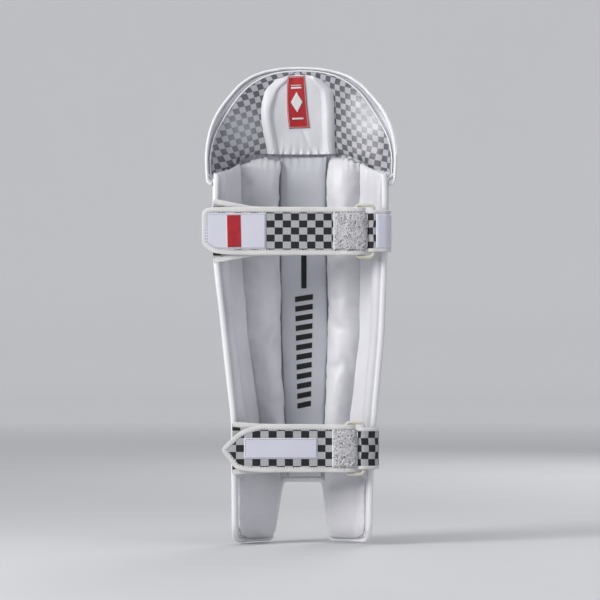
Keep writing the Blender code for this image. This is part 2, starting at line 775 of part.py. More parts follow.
def main():
    clear_scene()
    parts = collection_of(PAD_NAME)
    shin(parts)
    top_hat(parts)
    straps(parts)


main()
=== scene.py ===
"""Looks of a cricket leg pad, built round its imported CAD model.

Metres, +Z up. The leg side of the pad faces -Y. A place on a padded wall is (u, z, w): u runs from 0
at the left wing edge to 1 at the right one, w from -1 on the leg side to 1 on the face.
"""

import math

import bmesh
import bpy
import numpy as np
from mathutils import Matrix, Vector
from mathutils.bvhtree import BVHTree


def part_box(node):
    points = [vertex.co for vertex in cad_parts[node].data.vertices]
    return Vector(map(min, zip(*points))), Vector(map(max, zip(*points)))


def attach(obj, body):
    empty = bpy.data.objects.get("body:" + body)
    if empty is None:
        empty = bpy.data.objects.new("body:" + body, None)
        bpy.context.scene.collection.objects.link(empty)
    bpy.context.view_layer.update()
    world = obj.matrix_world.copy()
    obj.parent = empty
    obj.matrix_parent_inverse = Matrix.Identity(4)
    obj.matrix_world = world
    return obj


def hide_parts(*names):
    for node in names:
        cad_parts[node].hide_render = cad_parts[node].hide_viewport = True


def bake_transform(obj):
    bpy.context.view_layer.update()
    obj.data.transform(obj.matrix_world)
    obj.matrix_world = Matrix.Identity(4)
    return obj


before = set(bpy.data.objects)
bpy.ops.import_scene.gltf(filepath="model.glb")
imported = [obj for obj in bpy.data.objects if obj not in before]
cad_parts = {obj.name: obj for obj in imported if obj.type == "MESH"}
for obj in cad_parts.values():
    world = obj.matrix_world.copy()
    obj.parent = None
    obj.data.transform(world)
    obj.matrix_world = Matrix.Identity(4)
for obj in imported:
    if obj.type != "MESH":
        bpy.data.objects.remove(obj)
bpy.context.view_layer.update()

# Measured walls
ANGLES = 121
HEIGHT_STEP = 0.008
COLUMNS = 201
WING_LEAN = 0.0003

# Seams and edges
STITCH_PITCH = 0.0043
PIPING = 0.0018


# ---------------------------------------------------------------- arrays

def unit(a):
    return a / np.maximum(np.linalg.norm(a, axis=-1, keepdims=True), 1e-12)


def smooth_step(low, high, at):
    t = np.clip((at - low) / (high - low), 0, 1)
    return t * t * (3 - 2 * t)


def blur(a, sigma, axis):
    """Gaussian smoothing that keeps the two ends in place."""
    if sigma <= 0:
        return a
    a = np.moveaxis(a, axis, 0)
    reach = min(int(3 * sigma) + 1, len(a) - 1)
    kernel = np.exp(-0.5 * (np.arange(-reach, reach + 1) / sigma) ** 2)
    kernel /= kernel.sum()
    before = 2 * a[0] - a[reach:0:-1]
    after = 2 * a[-1] - a[-2:-reach - 2:-1]
    long = np.concatenate([before, a, after])
    out = sum(k * long[i:i + len(a)] for i, k in enumerate(kernel))
    return np.moveaxis(out, 0, axis)


def arc_lengths(path):
    return np.concatenate([[0], np.cumsum(np.linalg.norm(np.diff(path, axis=0), axis=1))])


def resample(path, count, *more):
    """The path, and arrays that belong to its points, at even steps."""
    s = arc_lengths(path)
    at = np.linspace(0, s[-1], count)
    out = [np.stack([np.interp(at, s, a[:, k]) for k in range(a.shape[1])], 1) for a in (path, *more)]
    return out[0] if not more else out


def waves(x, z, seed, scale):
    """Soft irregular waves of about -1 to 1, by sums of sines."""
    draw = np.random.default_rng(seed)
    total = np.zeros(np.broadcast(x, z).shape)
    for _ in range(6):
        angle, phase = draw.uniform(0, 2 * math.pi, 2)
        pitch = scale * (0.6 + 0.9 * draw.random())
        total = total + np.sin(2 * math.pi * (x * math.cos(angle) + z * math.sin(angle)) / pitch + phase)
    return total / 3.5


# ---------------------------------------------------------------- the walls of the CAD model

def tree_of(node):
    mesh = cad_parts[node].data
    return BVHTree.FromPolygons([v.co for v in mesh.vertices], [p.vertices for p in mesh.polygons])


class Wall:
    """A smooth surface through one side of a wall that is a C in plan."""

    def __init__(self, node, z_low, z_high, inside):
        tree = tree_of(node)
        rows = int((z_high - z_low) / HEIGHT_STEP) + 1
        self.z = np.linspace(z_low, z_high, rows)
        angles = np.linspace(math.pi, 0, ANGLES)
        ahead = np.stack([np.cos(angles), np.sin(angles), 0 * angles], 1)
        axis_y = np.array([self.edge_y(tree, z) for z in self.z])
        known = ~np.isnan(axis_y)
        axis_y = np.interp(self.z, self.z[known], axis_y[known])
        for k in range(1, rows):
            axis_y[k] = min(axis_y[k], axis_y[k - 1] + WING_LEAN)
        reach = np.full((rows, ANGLES), np.nan)
        for k, z in enumerate(self.z):
            axis = np.array((0.0, axis_y[k], z))
            for j, way in enumerate(ahead):
                start = axis if inside else axis + 0.3 * way
                hit = tree.ray_cast(Vector(start), Vector(way if inside else -way), 0.3)[0]
                if hit is not None:
                    reach[k, j] = np.linalg.norm(np.array(hit) - axis)
        reach = self.fill(reach)
        grid = reach[..., None] * ahead[None]
        grid[..., 1] += axis_y[:, None]
        grid[..., 2] += self.z[:, None]
        grid = np.stack([resample(row, COLUMNS) for row in grid])
        grid = blur(blur(grid, 3.0, 1), 0.012 / HEIGHT_STEP, 0)
        grid[..., 2] = self.z[:, None]
        self.grid = grid

    @staticmethod
    def edge_y(tree, z):
        """The lowest y at which the wall's left wing still is, or nan."""
        def there(y):
            return tree.ray_cast(Vector((0, y, z)), Vector((-1, 0, 0)), 0.3)[0] is not None
        low, high = -0.1, -0.005
        if not there(high):
            return np.nan
        for _ in range(14):
            middle = (low + high) / 2
            low, high = (low, middle) if there(middle) else (middle, high)
        return high + 0.0003

    @staticmethod
    def fill(reach):
        """Gives the places where the wall is cut away the shape of the nearest row that has one."""
        there = ~np.isnan(reach)
        rows = np.arange(len(reach))
        full = reach.copy()
        for j in range(reach.shape[1]):
            known = rows[there[:, j]]
            for k in rows[~there[:, j]]:
                near = known[np.argmin(abs(known - k))]
                both = there[k] & there[near]
                ratio = np.median(reach[k, both] / reach[near, both]) if both.sum() > 10 else 1.0
                full[k, j] = reach[near, j] * ratio
        return full

    def at(self, u, z):
        u, z = np.broadcast_arrays(np.asarray(u, float), np.asarray(z, float))
        a = u * (COLUMNS - 1)
        i = np.clip(np.floor(a), 0, COLUMNS - 2).astype(int)
        fa = (a - i)[..., None]
        b = (z - self.z[0]) / (self.z[1] - self.z[0])
        j = np.clip(np.floor(b), 0, len(self.z) - 2).astype(int)
        fb = (b - j)[..., None]
        g = self.grid
        low = g[j, i] * (1 - fa) + g[j, i + 1] * fa
        high = g[j + 1, i] * (1 - fa) + g[j + 1, i + 1] * fa
        return low * (1 - fb) + high * fb


class Layers:
    """A padded wall between its leg side and its face."""

    def __init__(self, inner, outer):
        self.inner, self.outer = inner, outer

    def at(self, u, z, w, out=0.0):
        a, b = self.inner.at(u, z), self.outer.at(u, z)
        w = np.asarray(w, float)[..., None] if np.ndim(w) else w
        out = np.asarray(out, float)[..., None] if np.ndim(out) else out
        return a + (b - a) * (w + 1) / 2 + unit(b - a) * out

    def leg(self, u, z, rise):
        """A point this far off the lining, towards the leg."""
        return self.at(u, z, -1.0, -np.asarray(rise, float) if np.ndim(rise) else -rise)

    def u_at(self, x, z, w=-1.0):
        """The u at which the wall has this x."""
        grid = np.linspace(0, 1, COLUMNS)
        x, z = np.broadcast_arrays(np.asarray(x, float), np.asarray(z, float))
        flat = [np.interp(a, self.at(grid, b, w)[:, 0], grid) for a, b in zip(x.ravel(), z.ravel())]
        return np.array(flat).reshape(x.shape)

    def length(self, z):
        return arc_lengths(self.inner.at(np.linspace(0, 1, COLUMNS), z))[-1]


def outline_of(node, heights):
    """The lowest and highest x of a CAD node at each height."""
    co = np.array([v.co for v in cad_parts[node].data.vertices])
    levels = np.unique(co[:, 2].round(4))
    near = [co[abs(co[:, 2] - level) < 1e-4] for level in levels]
    low = np.interp(heights, levels, [p[:, 0].min() for p in near])
    high = np.interp(heights, levels, [p[:, 0].max() for p in near])
    return low, high


# ---------------------------------------------------------------- meshes

def new_object(name, verts, faces, uvs=None, smooth=True):
    mesh = bpy.data.meshes.new(name)
    mesh.from_pydata(np.asarray(verts, float).tolist(), [], [list(map(int, f)) for f in faces])
    if uvs is not None:
        layer = mesh.uv_layers.new(name="UVMap")
        index = np.zeros(len(mesh.loops), int)
        mesh.loops.foreach_get("vertex_index", index)
        layer.data.foreach_set("uv", np.asarray(uvs, np.float32)[index].ravel())
    mesh.validate()
    if smooth:
        mesh.shade_smooth()
    made = bpy.data.objects.new(name, mesh)
    bpy.context.scene.collection.objects.link(made)
    return made


def outwards(piece):
    """Makes a closed mesh's faces look outwards."""
    work = bmesh.new()
    work.from_mesh(piece.data)
    bmesh.ops.recalc_face_normals(work, faces=work.faces[:])
    if work.calc_volume(signed=True) < 0:
        bmesh.ops.reverse_faces(work, faces=work.faces[:])
    work.to_mesh(piece.data)
    work.free()
    return piece


def grid_faces(rows, cols, first=0):
    k = first + np.arange(rows * cols).reshape(rows, cols)
    return np.stack([k[:-1, :-1], k[:-1, 1:], k[1:, 1:], k[1:, :-1]], -1).reshape(-1, 4)


def pillow(name, front, back, uv=None):
    """A closed form between two grids of points with a shared outline."""
    rows, cols = front.shape[:2]
    count = rows * cols
    faces = [grid_faces(rows, cols), grid_faces(rows, cols, count)[:, ::-1]]
    k = np.arange(count).reshape(rows, cols)
    rim = np.concatenate([k[0, :-1], k[:-1, -1], k[-1, :0:-1], k[:0:-1, 0]])
    ahead = np.roll(rim, -1)
    faces.append(np.stack([ahead, rim, rim + count, ahead + count], -1))
    verts = np.concatenate([front.reshape(-1, 3), back.reshape(-1, 3)])
    uvs = None if uv is None else np.concatenate([uv.reshape(-1, 2)] * 2)
    return outwards(new_object(name, verts, np.concatenate(faces), uvs))


def sweep(name, path, normals, profile, closed=False):
    """A closed profile, as (sideways, up) points, carried along a path; up is the normal."""
    count, sides = len(path), len(profile)
    if closed:
        ahead = unit(np.roll(path, -1, 0) - np.roll(path, 1, 0))
    else:
        ahead = unit(np.gradient(path, axis=0))
    up = unit(normals - (normals * ahead).sum(-1, keepdims=True) * ahead)
    aside = np.cross(ahead, up)
    profile = np.asarray(profile, float)
    if profile.ndim == 2:
        profile = np.repeat(profile[None], count, 0)
    sides = profile.shape[1]
    verts = path[:, None] + aside[:, None] * profile[..., :1] + up[:, None] * profile[..., 1:]
    s = arc_lengths(path)
    round_it = np.linspace(0, 1, sides, endpoint=False) * np.linalg.norm(np.ptp(profile[0], axis=0)) * 2
    uvs = np.stack(np.broadcast_arrays(s[:, None], round_it[None]), -1).reshape(-1, 2)
    faces = []
    last = count if closed else count - 1
    for i in range(last):
        a, b = i * sides, (i + 1) % count * sides
        for j in range(sides):
            k = (j + 1) % sides
            faces.append((a + j, a + k, b + k, b + j))
    if not closed:
        faces.append(tuple(range(sides))[::-1])
        faces.append(tuple(range((count - 1) * sides, count * sides)))
    return outwards(new_object(name, verts.reshape(-1, 3), faces, uvs))


def oval(wide, tall, sides=12, power=2.0):
    """A superellipse profile."""
    a = np.linspace(0, 2 * math.pi, sides, endpoint=False)
    c, s = np.cos(a), np.sin(a)
    return np.stack([np.sign(c) * abs(c) ** (2 / power) * wide / 2,
                     np.sign(s) * abs(s) ** (2 / power) * tall / 2], 1)


def tube(name, path, radius, normals=None, closed=False, sides=10):
    if normals is None:
        normals = np.tile((0.0, -1.0, 0.02), (len(path), 1))
    return sweep(name, path, normals, oval(2 * radius, 2 * radius, sides), closed)


def join_meshes(name, meshes):
    """One object of many small closed meshes given as (verts, faces)."""
    verts, faces, first = [], [], 0
    for v, f in meshes:
        verts.append(v)
        faces += [tuple(i + first for i in face) for face in f]
        first += len(v)
    return new_object(name, np.concatenate(verts), faces)


STITCH_RINGS = ((-0.5, 0.35), (-0.36, 1.0), (0.36, 1.0), (0.5, 0.35))
STITCH_SIDES = 6


def stitches(name, path, normals, pitch=STITCH_PITCH, length=0.0030, radius=0.00042, lift=0.0002):
    """A row of short threads that lie on a surface."""
    s = arc_lengths(path)
    middle = np.arange(pitch / 2, s[-1], pitch)

    def at(a, where):
        return np.stack([np.interp(where, s, a[:, k]) for k in range(3)], 1)

    centre = at(path, middle)
    ahead = unit(at(path, middle + length / 2) - at(path, middle - length / 2))
    up = unit(at(normals, middle))
    aside = unit(np.cross(ahead, up))
    parts = []
    turn = np.linspace(0, 2 * math.pi, STITCH_SIDES, endpoint=False)
    rings = len(STITCH_RINGS)
    faces = [tuple(range(STITCH_SIDES))[::-1], tuple(range((rings - 1) * STITCH_SIDES, rings * STITCH_SIDES))]
    for r in range(rings - 1):
        for j in range(STITCH_SIDES):
            k = (j + 1) % STITCH_SIDES
            faces.append((r * STITCH_SIDES + j, r * STITCH_SIDES + k,
                          (r + 1) * STITCH_SIDES + k, (r + 1) * STITCH_SIDES + j))
    for c, f, n, a in zip(centre, ahead, up, aside):
        verts = []
        for along, wide in STITCH_RINGS:
            sink = 0.0 if wide == 1.0 else radius * 0.8
            for t in turn:
                verts.append(c + f * along * length + a * math.cos(t) * radius * wide
                             + n * (math.sin(t) * radius * wide * 0.8 + lift - sink))
        parts.append((np.array(verts), faces))
    return outwards(join_meshes(name, parts))


def apply_modifiers(piece):
    done = bpy.data.meshes.new_from_object(piece.evaluated_get(bpy.context.evaluated_depsgraph_get()))
    old = piece.data
    piece.modifiers.clear()
    piece.data = done
    bpy.data.meshes.remove(old)
    piece.data.shade_smooth()
    return piece


def coordinates(piece):
    co = np.zeros(len(piece.data.vertices) * 3)
    piece.data.vertices.foreach_get("co", co)
    return co.reshape(-1, 3)


def set_coordinates(piece, co):
    piece.data.vertices.foreach_set("co", np.asarray(co, np.float32).ravel())
    piece.data.update()


def vertex_normals(piece):
    return np.array([v.normal[:] for v in piece.data.vertices])


def inflate(piece, held, cap=0.008, pressure=4.0, voxel=0.005, shrink=-0.02):
    """Padded fabric: the form is remeshed, then blown up as cloth; held is 1 where it is sewn down."""
    remesh = piece.modifiers.new("remesh", "REMESH")
    remesh.mode = "VOXEL"
    remesh.voxel_size = voxel
    apply_modifiers(piece)
    rest = coordinates(piece)
    pinned = piece.vertex_groups.new(name="pinned")
    for i, weight in enumerate(held(rest)):
        if weight > 0.01:
            pinned.add([i], float(weight), "REPLACE")
    cloth = piece.modifiers.new("cloth", "CLOTH")
    settings = cloth.settings
    settings.quality = 5
    settings.mass = 0.15
    settings.tension_stiffness = 12
    settings.compression_stiffness = 6
    settings.bending_stiffness = 0.3
    settings.use_pressure = True
    settings.uniform_pressure_force = pressure
    settings.vertex_group_mass = "pinned"
    settings.shrink_min = shrink
    settings.effector_weights.gravity = 0
    cloth.collision_settings.use_collision = False
    cloth.point_cache.frame_end = 20
    scene = bpy.context.scene
    for number in range(1, 21):
        scene.frame_set(number)
    blown = piece.evaluated_get(bpy.context.evaluated_depsgraph_get())
    moved = np.zeros(len(rest) * 3)
    blown.data.vertices.foreach_get("co", moved)
    moved = moved.reshape(-1, 3) - rest
    piece.modifiers.clear()
    scene.frame_set(1)
    far = np.linalg.norm(moved, axis=1, keepdims=True)
    capped = np.tanh(far / cap) * cap
    set_coordinates(piece, rest + moved / np.maximum(far, 1e-9) * capped)
    soft = piece.modifiers.new("soft", "SMOOTH")
    soft.factor = 0.5
    soft.iterations = 4
    fine = piece.modifiers.new("fine", "SUBSURF")
    fine.levels = fine.render_levels = 1
    apply_modifiers(piece)
    piece.vertex_groups.clear()
    return piece


# ---------------------------------------------------------------- materials

class Look:
    """A Principled material with a few short ways to add nodes."""

    def __init__(self, name, roughness=0.5):
        self.material = bpy.data.materials.new(name)
        self.material.use_nodes = True
        self.tree = self.material.node_tree
        self.shader = self.tree.nodes["Principled BSDF"]
        self.shader.inputs["Roughness"].default_value = roughness
        coords = self.tree.nodes.new("ShaderNodeTexCoord")
        self.place, self.uv = coords.outputs["Object"], coords.outputs["UV"]

    def link(self, source, target):
        if isinstance(source, bpy.types.NodeSocket):
            self.tree.links.new(source, target)
        else:
            target.default_value = source

    def noise(self, scale, detail=4.0, at=None, stretch=None):
        node = self.tree.nodes.new("ShaderNodeTexNoise")
        node.inputs["Scale"].default_value = scale
        node.inputs["Detail"].default_value = detail
        self.link(self.scaled(at or self.place, stretch), node.inputs["Vector"])
        return node.outputs["Fac"]

    def cells(self, scale, at=None, feature="F1", stretch=None):
        node = self.tree.nodes.new("ShaderNodeTexVoronoi")
        node.feature = feature
        node.inputs["Scale"].default_value = scale
        self.link(self.scaled(at or self.place, stretch), node.inputs["Vector"])
        return node.outputs["Distance"]

    def scaled(self, vector, stretch):
        if stretch is None:
            return vector
        node = self.tree.nodes.new("ShaderNodeMapping")
        node.inputs["Scale"].default_value = stretch
        self.link(vector, node.inputs["Vector"])
        return node.outputs["Vector"]

    def math(self, operation, a, b=0.0, clamp=False):
        node = self.tree.nodes.new("ShaderNodeMath")
        node.operation = operation
        node.use_clamp = clamp
        self.link(a, node.inputs[0])
        self.link(b, node.inputs[1])
        return node.outputs[0]

    def split(self, vector):
        node = self.tree.nodes.new("ShaderNodeSeparateXYZ")
        self.link(vector, node.inputs[0])
        return node.outputs[0], node.outputs[1], node.outputs[2]

    def ramp(self, value, low, high, first=0.0, last=1.0):
        """The value from low to high mapped onto first to last."""
        node = self.tree.nodes.new("ShaderNodeMapRange")
        for name, number in (("From Min", low), ("From Max", high), ("To Min", first), ("To Max", last)):
            node.inputs[name].default_value = number
        self.link(value, node.inputs["Value"])
        return node.outputs[0]

    def mix(self, share, a, b):
        node = self.tree.nodes.new("ShaderNodeMix")
        node.data_type = "RGBA"
        self.link(share, node.inputs[0])
        for colour, target in ((a, node.inputs[6]), (b, node.inputs[7])):
            self.link(colour if isinstance(colour, bpy.types.NodeSocket) else (*colour, 1.0), target)
        return node.outputs[2]

    def paint(self, colour):
        self.link(colour if isinstance(colour, bpy.types.NodeSocket) else (*colour, 1.0),
                  self.shader.inputs["Base Color"])

    def rough(self, value):
        self.link(value, self.shader.inputs["Roughness"])

    def bump(self, height, strength, distance=0.001):
        node = self.tree.nodes.new("ShaderNodeBump")
        node.inputs["Strength"].default_value = strength
        node.inputs["Distance"].default_value = distance
        self.link(height, node.inputs["Height"])
        before = self.shader.inputs["Normal"]
        if before.is_linked:
            self.link(before.links[0].from_socket, node.inputs["Normal"])
        self.link(node.outputs[0], before)

    def sheen(self, weight, roughness=0.4, colour=(1, 1, 1)):
        self.shader.inputs["Sheen Weight"].default_value = weight
        self.shader.inputs["Sheen Roughness"].default_value = roughness
        self.shader.inputs["Sheen Tint"].default_value = (*colour, 1.0)

    def edges(self, low=0.46, high=0.56):
        """About 0 in hollows and 1 on edges."""
        node = self.tree.nodes.new("ShaderNodeNewGeometry")
        return self.ramp(node.outputs["Pointiness"], low, high)


def synthetic_leather(name, colour, roughness=0.40, grain=1500.0, shade=0.90, wear=0.35):
    """Soft coated fabric: fine grain, faint ribs of the backing, painted shade in the hollows, and scuffed
    edges.
    """
    look = Look(name, roughness)
    dark = tuple(c * shade for c in colour)
    cloudy = look.noise(14, 5)
    base = look.mix(look.ramp(cloudy, 0.35, 0.65), dark, colour)
    # Painted shade: the colour is darkened in hollows and creases, where shade falls.
    hollow_shade = look.ramp(look.edges(0.44, 0.52), 0, 1, 0.45, 0.0)
    base = look.mix(hollow_shade, base, tuple(c * 0.55 for c in colour))
    scuff = look.math("MULTIPLY", look.edges(0.52, 0.60), look.ramp(look.noise(90, 6), 0.5, 0.7))
    base = look.mix(look.math("MULTIPLY", scuff, wear), base, (0.62, 0.60, 0.56))
    look.paint(base)
    look.rough(look.ramp(look.noise(60, 4), 0.3, 0.7, roughness - 0.05, roughness + 0.09))
    look.bump(look.noise(22, 3), 0.25, 0.004)
    look.bump(look.cells(grain), 0.18, 0.0003)
    look.bump(look.noise(9, 2, stretch=(1, 1, 75)), 0.05, 0.0006)
    look.sheen(0.08, 0.5)
    return look.material


def tape_look(name, colour, rib=0.0011, roughness=0.85):
    """Woven binding tape with crosswise ribs, fuzz and painted shade in its hollows; its UVs are in metres.
    """
    look = Look(name, roughness)
    u, v, _ = look.split(look.uv)
    ribs = look.math("SINE", look.math("MULTIPLY", u, 2 * math.pi / rib))
    rows = look.math("SINE", look.math("MULTIPLY", v, 2 * math.pi / (rib * 0.8)))
    weave = look.math("ADD", ribs, look.math("MULTIPLY", rows, 0.6))
    fuzz = look.noise(2600, 3)
    grimy = look.noise(30, 5)
    base = look.mix(look.ramp(grimy, 0.35, 0.7), tuple(c * 0.86 for c in colour), colour)
    base = look.mix(look.ramp(weave, -1.6, -0.4, 0.35, 0.0), base, tuple(c * 0.5 for c in colour))
    # Painted shade: the tape is darker in its hollows.
    base = look.mix(look.ramp(look.edges(0.42, 0.5), 0, 1, 0.35, 0.0), base, tuple(c * 0.5 for c in colour))
    look.paint(base)
    look.bump(weave, 0.35, 0.0003)
    look.bump(fuzz, 0.5, 0.0005)
    look.sheen(0.35, 0.6)
    return look.material


def checks(look, cell_u, cell_v, ragged=0.0):
    """1 on the dark squares and 0 on the light ones, from UVs in metres."""
    u, v, _ = look.split(look.uv)
    if ragged:
        fray = look.ramp(look.noise(1500, 2), 0, 1, -ragged, ragged)
        u, v = look.math("ADD", u, fray), look.math("ADD", v, fray)
    odd = look.math("ADD", look.math("FLOOR", look.math("DIVIDE", u, cell_u)),
                    look.math("FLOOR", look.math("DIVIDE", v, cell_v)))
    half = look.math("FRACT", look.math("MULTIPLY", odd, 0.5))
    return look.math("GREATER_THAN", half, 0.25)


def webbing_look(name, cell_u, cell_v, dark=(0.006, 0.006, 0.008), light=(0.46, 0.47, 0.49)):
    """Knitted elastic in black and grey squares, with five ribs to a square and fine rows."""
    look = Look(name, 0.78)
    u, v, _ = look.split(look.uv)
    black = checks(look, cell_u, cell_v, 0.0004)
    rib_pitch = cell_u / 5
    rib = look.math("ABSOLUTE", look.math("SINE", look.math("MULTIPLY", u, math.pi / rib_pitch)))
    row = look.math("ABSOLUTE", look.math("SINE", look.math("MULTIPLY", v, math.pi / 0.0009)))
    groove = look.ramp(rib, 0.0, 0.55, 1.0, 0.0)
    pale = look.mix(look.math("MULTIPLY", groove, 0.65), light, tuple(c * 0.35 for c in light))
    pale = look.mix(look.ramp(row, 0.0, 0.5, 0.22, 0.0), pale, tuple(c * 0.4 for c in light))
    pale = look.mix(look.ramp(look.noise(900, 3), 0.4, 0.75, 0, 0.35), pale, (0.62, 0.62, 0.63))
    ink = look.mix(look.ramp(row, 0.6, 1.0, 0.0, 0.6), dark, (0.022, 0.023, 0.026))
    look.paint(look.mix(black, pale, ink))
    look.bump(look.math("ADD", look.math("MULTIPLY", rib, 0.8), look.math("MULTIPLY", row, 0.5)), 0.5, 0.0006)
    look.bump(look.noise(2400, 3), 0.35, 0.0003)
    look.sheen(0.04, 0.5)
    return look.material


def lining_look(name, cell):
    """Satin jersey printed in dark and light grey squares, with two soft pale spots of painted glare, a
    painted highlight that washes the print out.
    """
    look = Look(name, 0.40)
    u, v, _ = look.split(look.uv)
    black = checks(look, cell, cell, 0.00015)
    cloudy = look.noise(25, 4)
    dark = look.mix(look.ramp(cloudy, 0.35, 0.65), (0.085, 0.085, 0.105), (0.125, 0.125, 0.15))
    light = look.mix(look.ramp(cloudy, 0.35, 0.65), (0.42, 0.42, 0.45), (0.50, 0.50, 0.53))
    x, _, z = look.split(look.place)
    base = look.mix(black, light, dark)
    # Painted highlight: a strong pale glare on the right panel and a weaker one on the left, painted into the
    # colour.
    for at_x, at_z, wide, tall, most in ((0.100, 0.632, 0.026, 0.040, 0.72),
                                         (-0.088, 0.604, 0.030, 0.030, 0.42)):
        away = look.math("ADD", look.math("POWER", look.math("ABSOLUTE", look.math("DIVIDE", look.math(
            "SUBTRACT", x, at_x), wide)), 2.0), look.math("POWER", look.math("ABSOLUTE", look.math(
                "DIVIDE", look.math("SUBTRACT", z, at_z), tall)), 2.0))
        painted_glare = look.math("MULTIPLY", look.math("EXPONENT", look.math("MULTIPLY", away, -1.0)), most)
        base = look.mix(look.math("MULTIPLY", painted_glare, look.ramp(look.noise(160, 5), 0.3, 0.7, 0.75, 1.1)), base,
                        (0.62, 0.64, 0.67))
    look.paint(base)
    twill = look.math("SINE", look.math("MULTIPLY", look.math("ADD", u, v), 2 * math.pi / 0.0011))
    knit = look.math("SINE", look.math("MULTIPLY", v, 2 * math.pi / 0.0009))
    look.bump(look.math("ADD", twill, knit), 0.14, 0.0002)
    look.bump(look.noise(30, 3), 0.2, 0.003)
    look.rough(look.ramp(look.noise(120, 3), 0.3, 0.7, 0.34, 0.46))
    look.shader.inputs["Coat Weight"].default_value = 0.27
    look.shader.inputs["Coat Roughness"].default_value = 0.38
    look.sheen(0.25, 0.35, (0.95, 0.96, 1.0))
    return look.material


def plastic_look(name, colour, roughness=0.32):
    look = Look(name, roughness)
    base = look.mix(look.ramp(look.noise(40, 4), 0.3, 0.7), tuple(c * 0.93 for c in colour), colour)
    scuff = look.math("MULTIPLY", look.edges(0.52, 0.6), look.ramp(look.noise(400, 5), 0.5, 0.62))
    look.paint(look.mix(look.math("MULTIPLY", scuff, 0.4), base, (0.55, 0.52, 0.46)))
    look.rough(look.ramp(look.noise(180, 5), 0.3, 0.7, roughness - 0.08, roughness + 0.14))
    look.bump(look.noise(500, 4), 0.08, 0.0004)
    look.shader.inputs["Subsurface Weight"].default_value = 0.15
    look.shader.inputs["Subsurface Scale"].default_value = 0.002
    return look.material


def fleece_look(name, colour, scale=1100.0):
    """Looped or hooked pile."""
    look = Look(name, 0.95)
    curls = look.cells(scale)
    base = look.mix(look.ramp(curls, 0.0, 0.75, 0.5, 0.0), colour, tuple(c * 0.72 for c in colour))
    look.paint(look.mix(look.ramp(look.noise(45, 4), 0.4, 0.7, 0, 0.3), base,
                        tuple(c * 0.88 for c in colour)))
    look.bump(curls, 0.8, 0.0009)
    look.bump(look.noise(2500, 3), 0.6, 0.0006)
    look.sheen(0.5, 0.7)
    return look.material


def foam_look(name, colour):
    look = Look(name, 0.95)
    pores = look.cells(1400)
    base = look.mix(look.ramp(pores, 0.0, 0.6, 0.4, 0.0), colour, tuple(c * 0.55 for c in colour))
    look.paint(look.mix(look.ramp(look.noise(20, 4), 0.4, 0.7, 0, 0.3), base,
                        tuple(c * 0.85 for c in colour)))
    look.bump(pores, 0.7, 0.0006)
    return look.material


def cane_look(name):
    look = Look(name, 0.45)
    grain = look.noise(60, 6, stretch=(6, 6, 0.35))
    base = look.mix(look.ramp(grain, 0.3, 0.7), (0.42, 0.25, 0.10), (0.66, 0.46, 0.22))
    look.paint(look.mix(look.ramp(look.noise(900, 4, stretch=(1, 1, 0.06)), 0.6, 0.75, 0, 0.5), base,
                        (0.24, 0.13, 0.05)))
    look.bump(grain, 0.3, 0.0006)
    look.rough(look.ramp(grain, 0.3, 0.7, 0.38, 0.56))
    return look.material


def woven_patch_look(name, colour, pale):
    look = Look(name, 0.55)
    u, v, _ = look.split(look.uv)
    warp = look.math("SINE", look.math("MULTIPLY", u, 2 * math.pi / 0.0006))
    weft = look.math("SINE", look.math("MULTIPLY", v, 2 * math.pi / 0.0008))
    weave = look.math("MULTIPLY", warp, weft)
    base = look.mix(look.ramp(look.noise(120, 4), 0.35, 0.7), tuple(c * 0.72 for c in colour), colour)
    base = look.mix(look.ramp(weave, 0.3, 1.0, 0.0, 0.25), base, pale)
    look.paint(base)
    look.bump(weave, 0.3, 0.0003)
    look.bump(look.noise(70, 3), 0.25, 0.002)
    look.sheen(0.15, 0.4)
    return look.material


def thread_look(name, colour):
    look = Look(name, 0.7)
    twist = look.noise(5000, 2)
    look.paint(look.mix(look.ramp(twist, 0.4, 0.6), tuple(c * 0.8 for c in colour), colour))
    look.bump(twist, 0.4, 0.0002)
    look.sheen(0.2)
    return look.material


def print_look(name, colour):
    """Screen print: a thin skin that shows the grain below and cracks a little."""
    look = Look(name, 0.45)
    crack = look.ramp(look.cells(420, feature="DISTANCE_TO_EDGE"), 0.0, 0.02, 0.35, 0.0)
    worn = look.math("MULTIPLY", crack, look.ramp(look.noise(60, 4), 0.55, 0.75))
    look.paint(look.mix(worn, colour, (0.35, 0.35, 0.37)))
    look.bump(look.cells(1500), 0.18, 0.0003)
    look.rough(look.ramp(look.noise(200, 4), 0.3, 0.7, 0.38, 0.55))
    return look.material


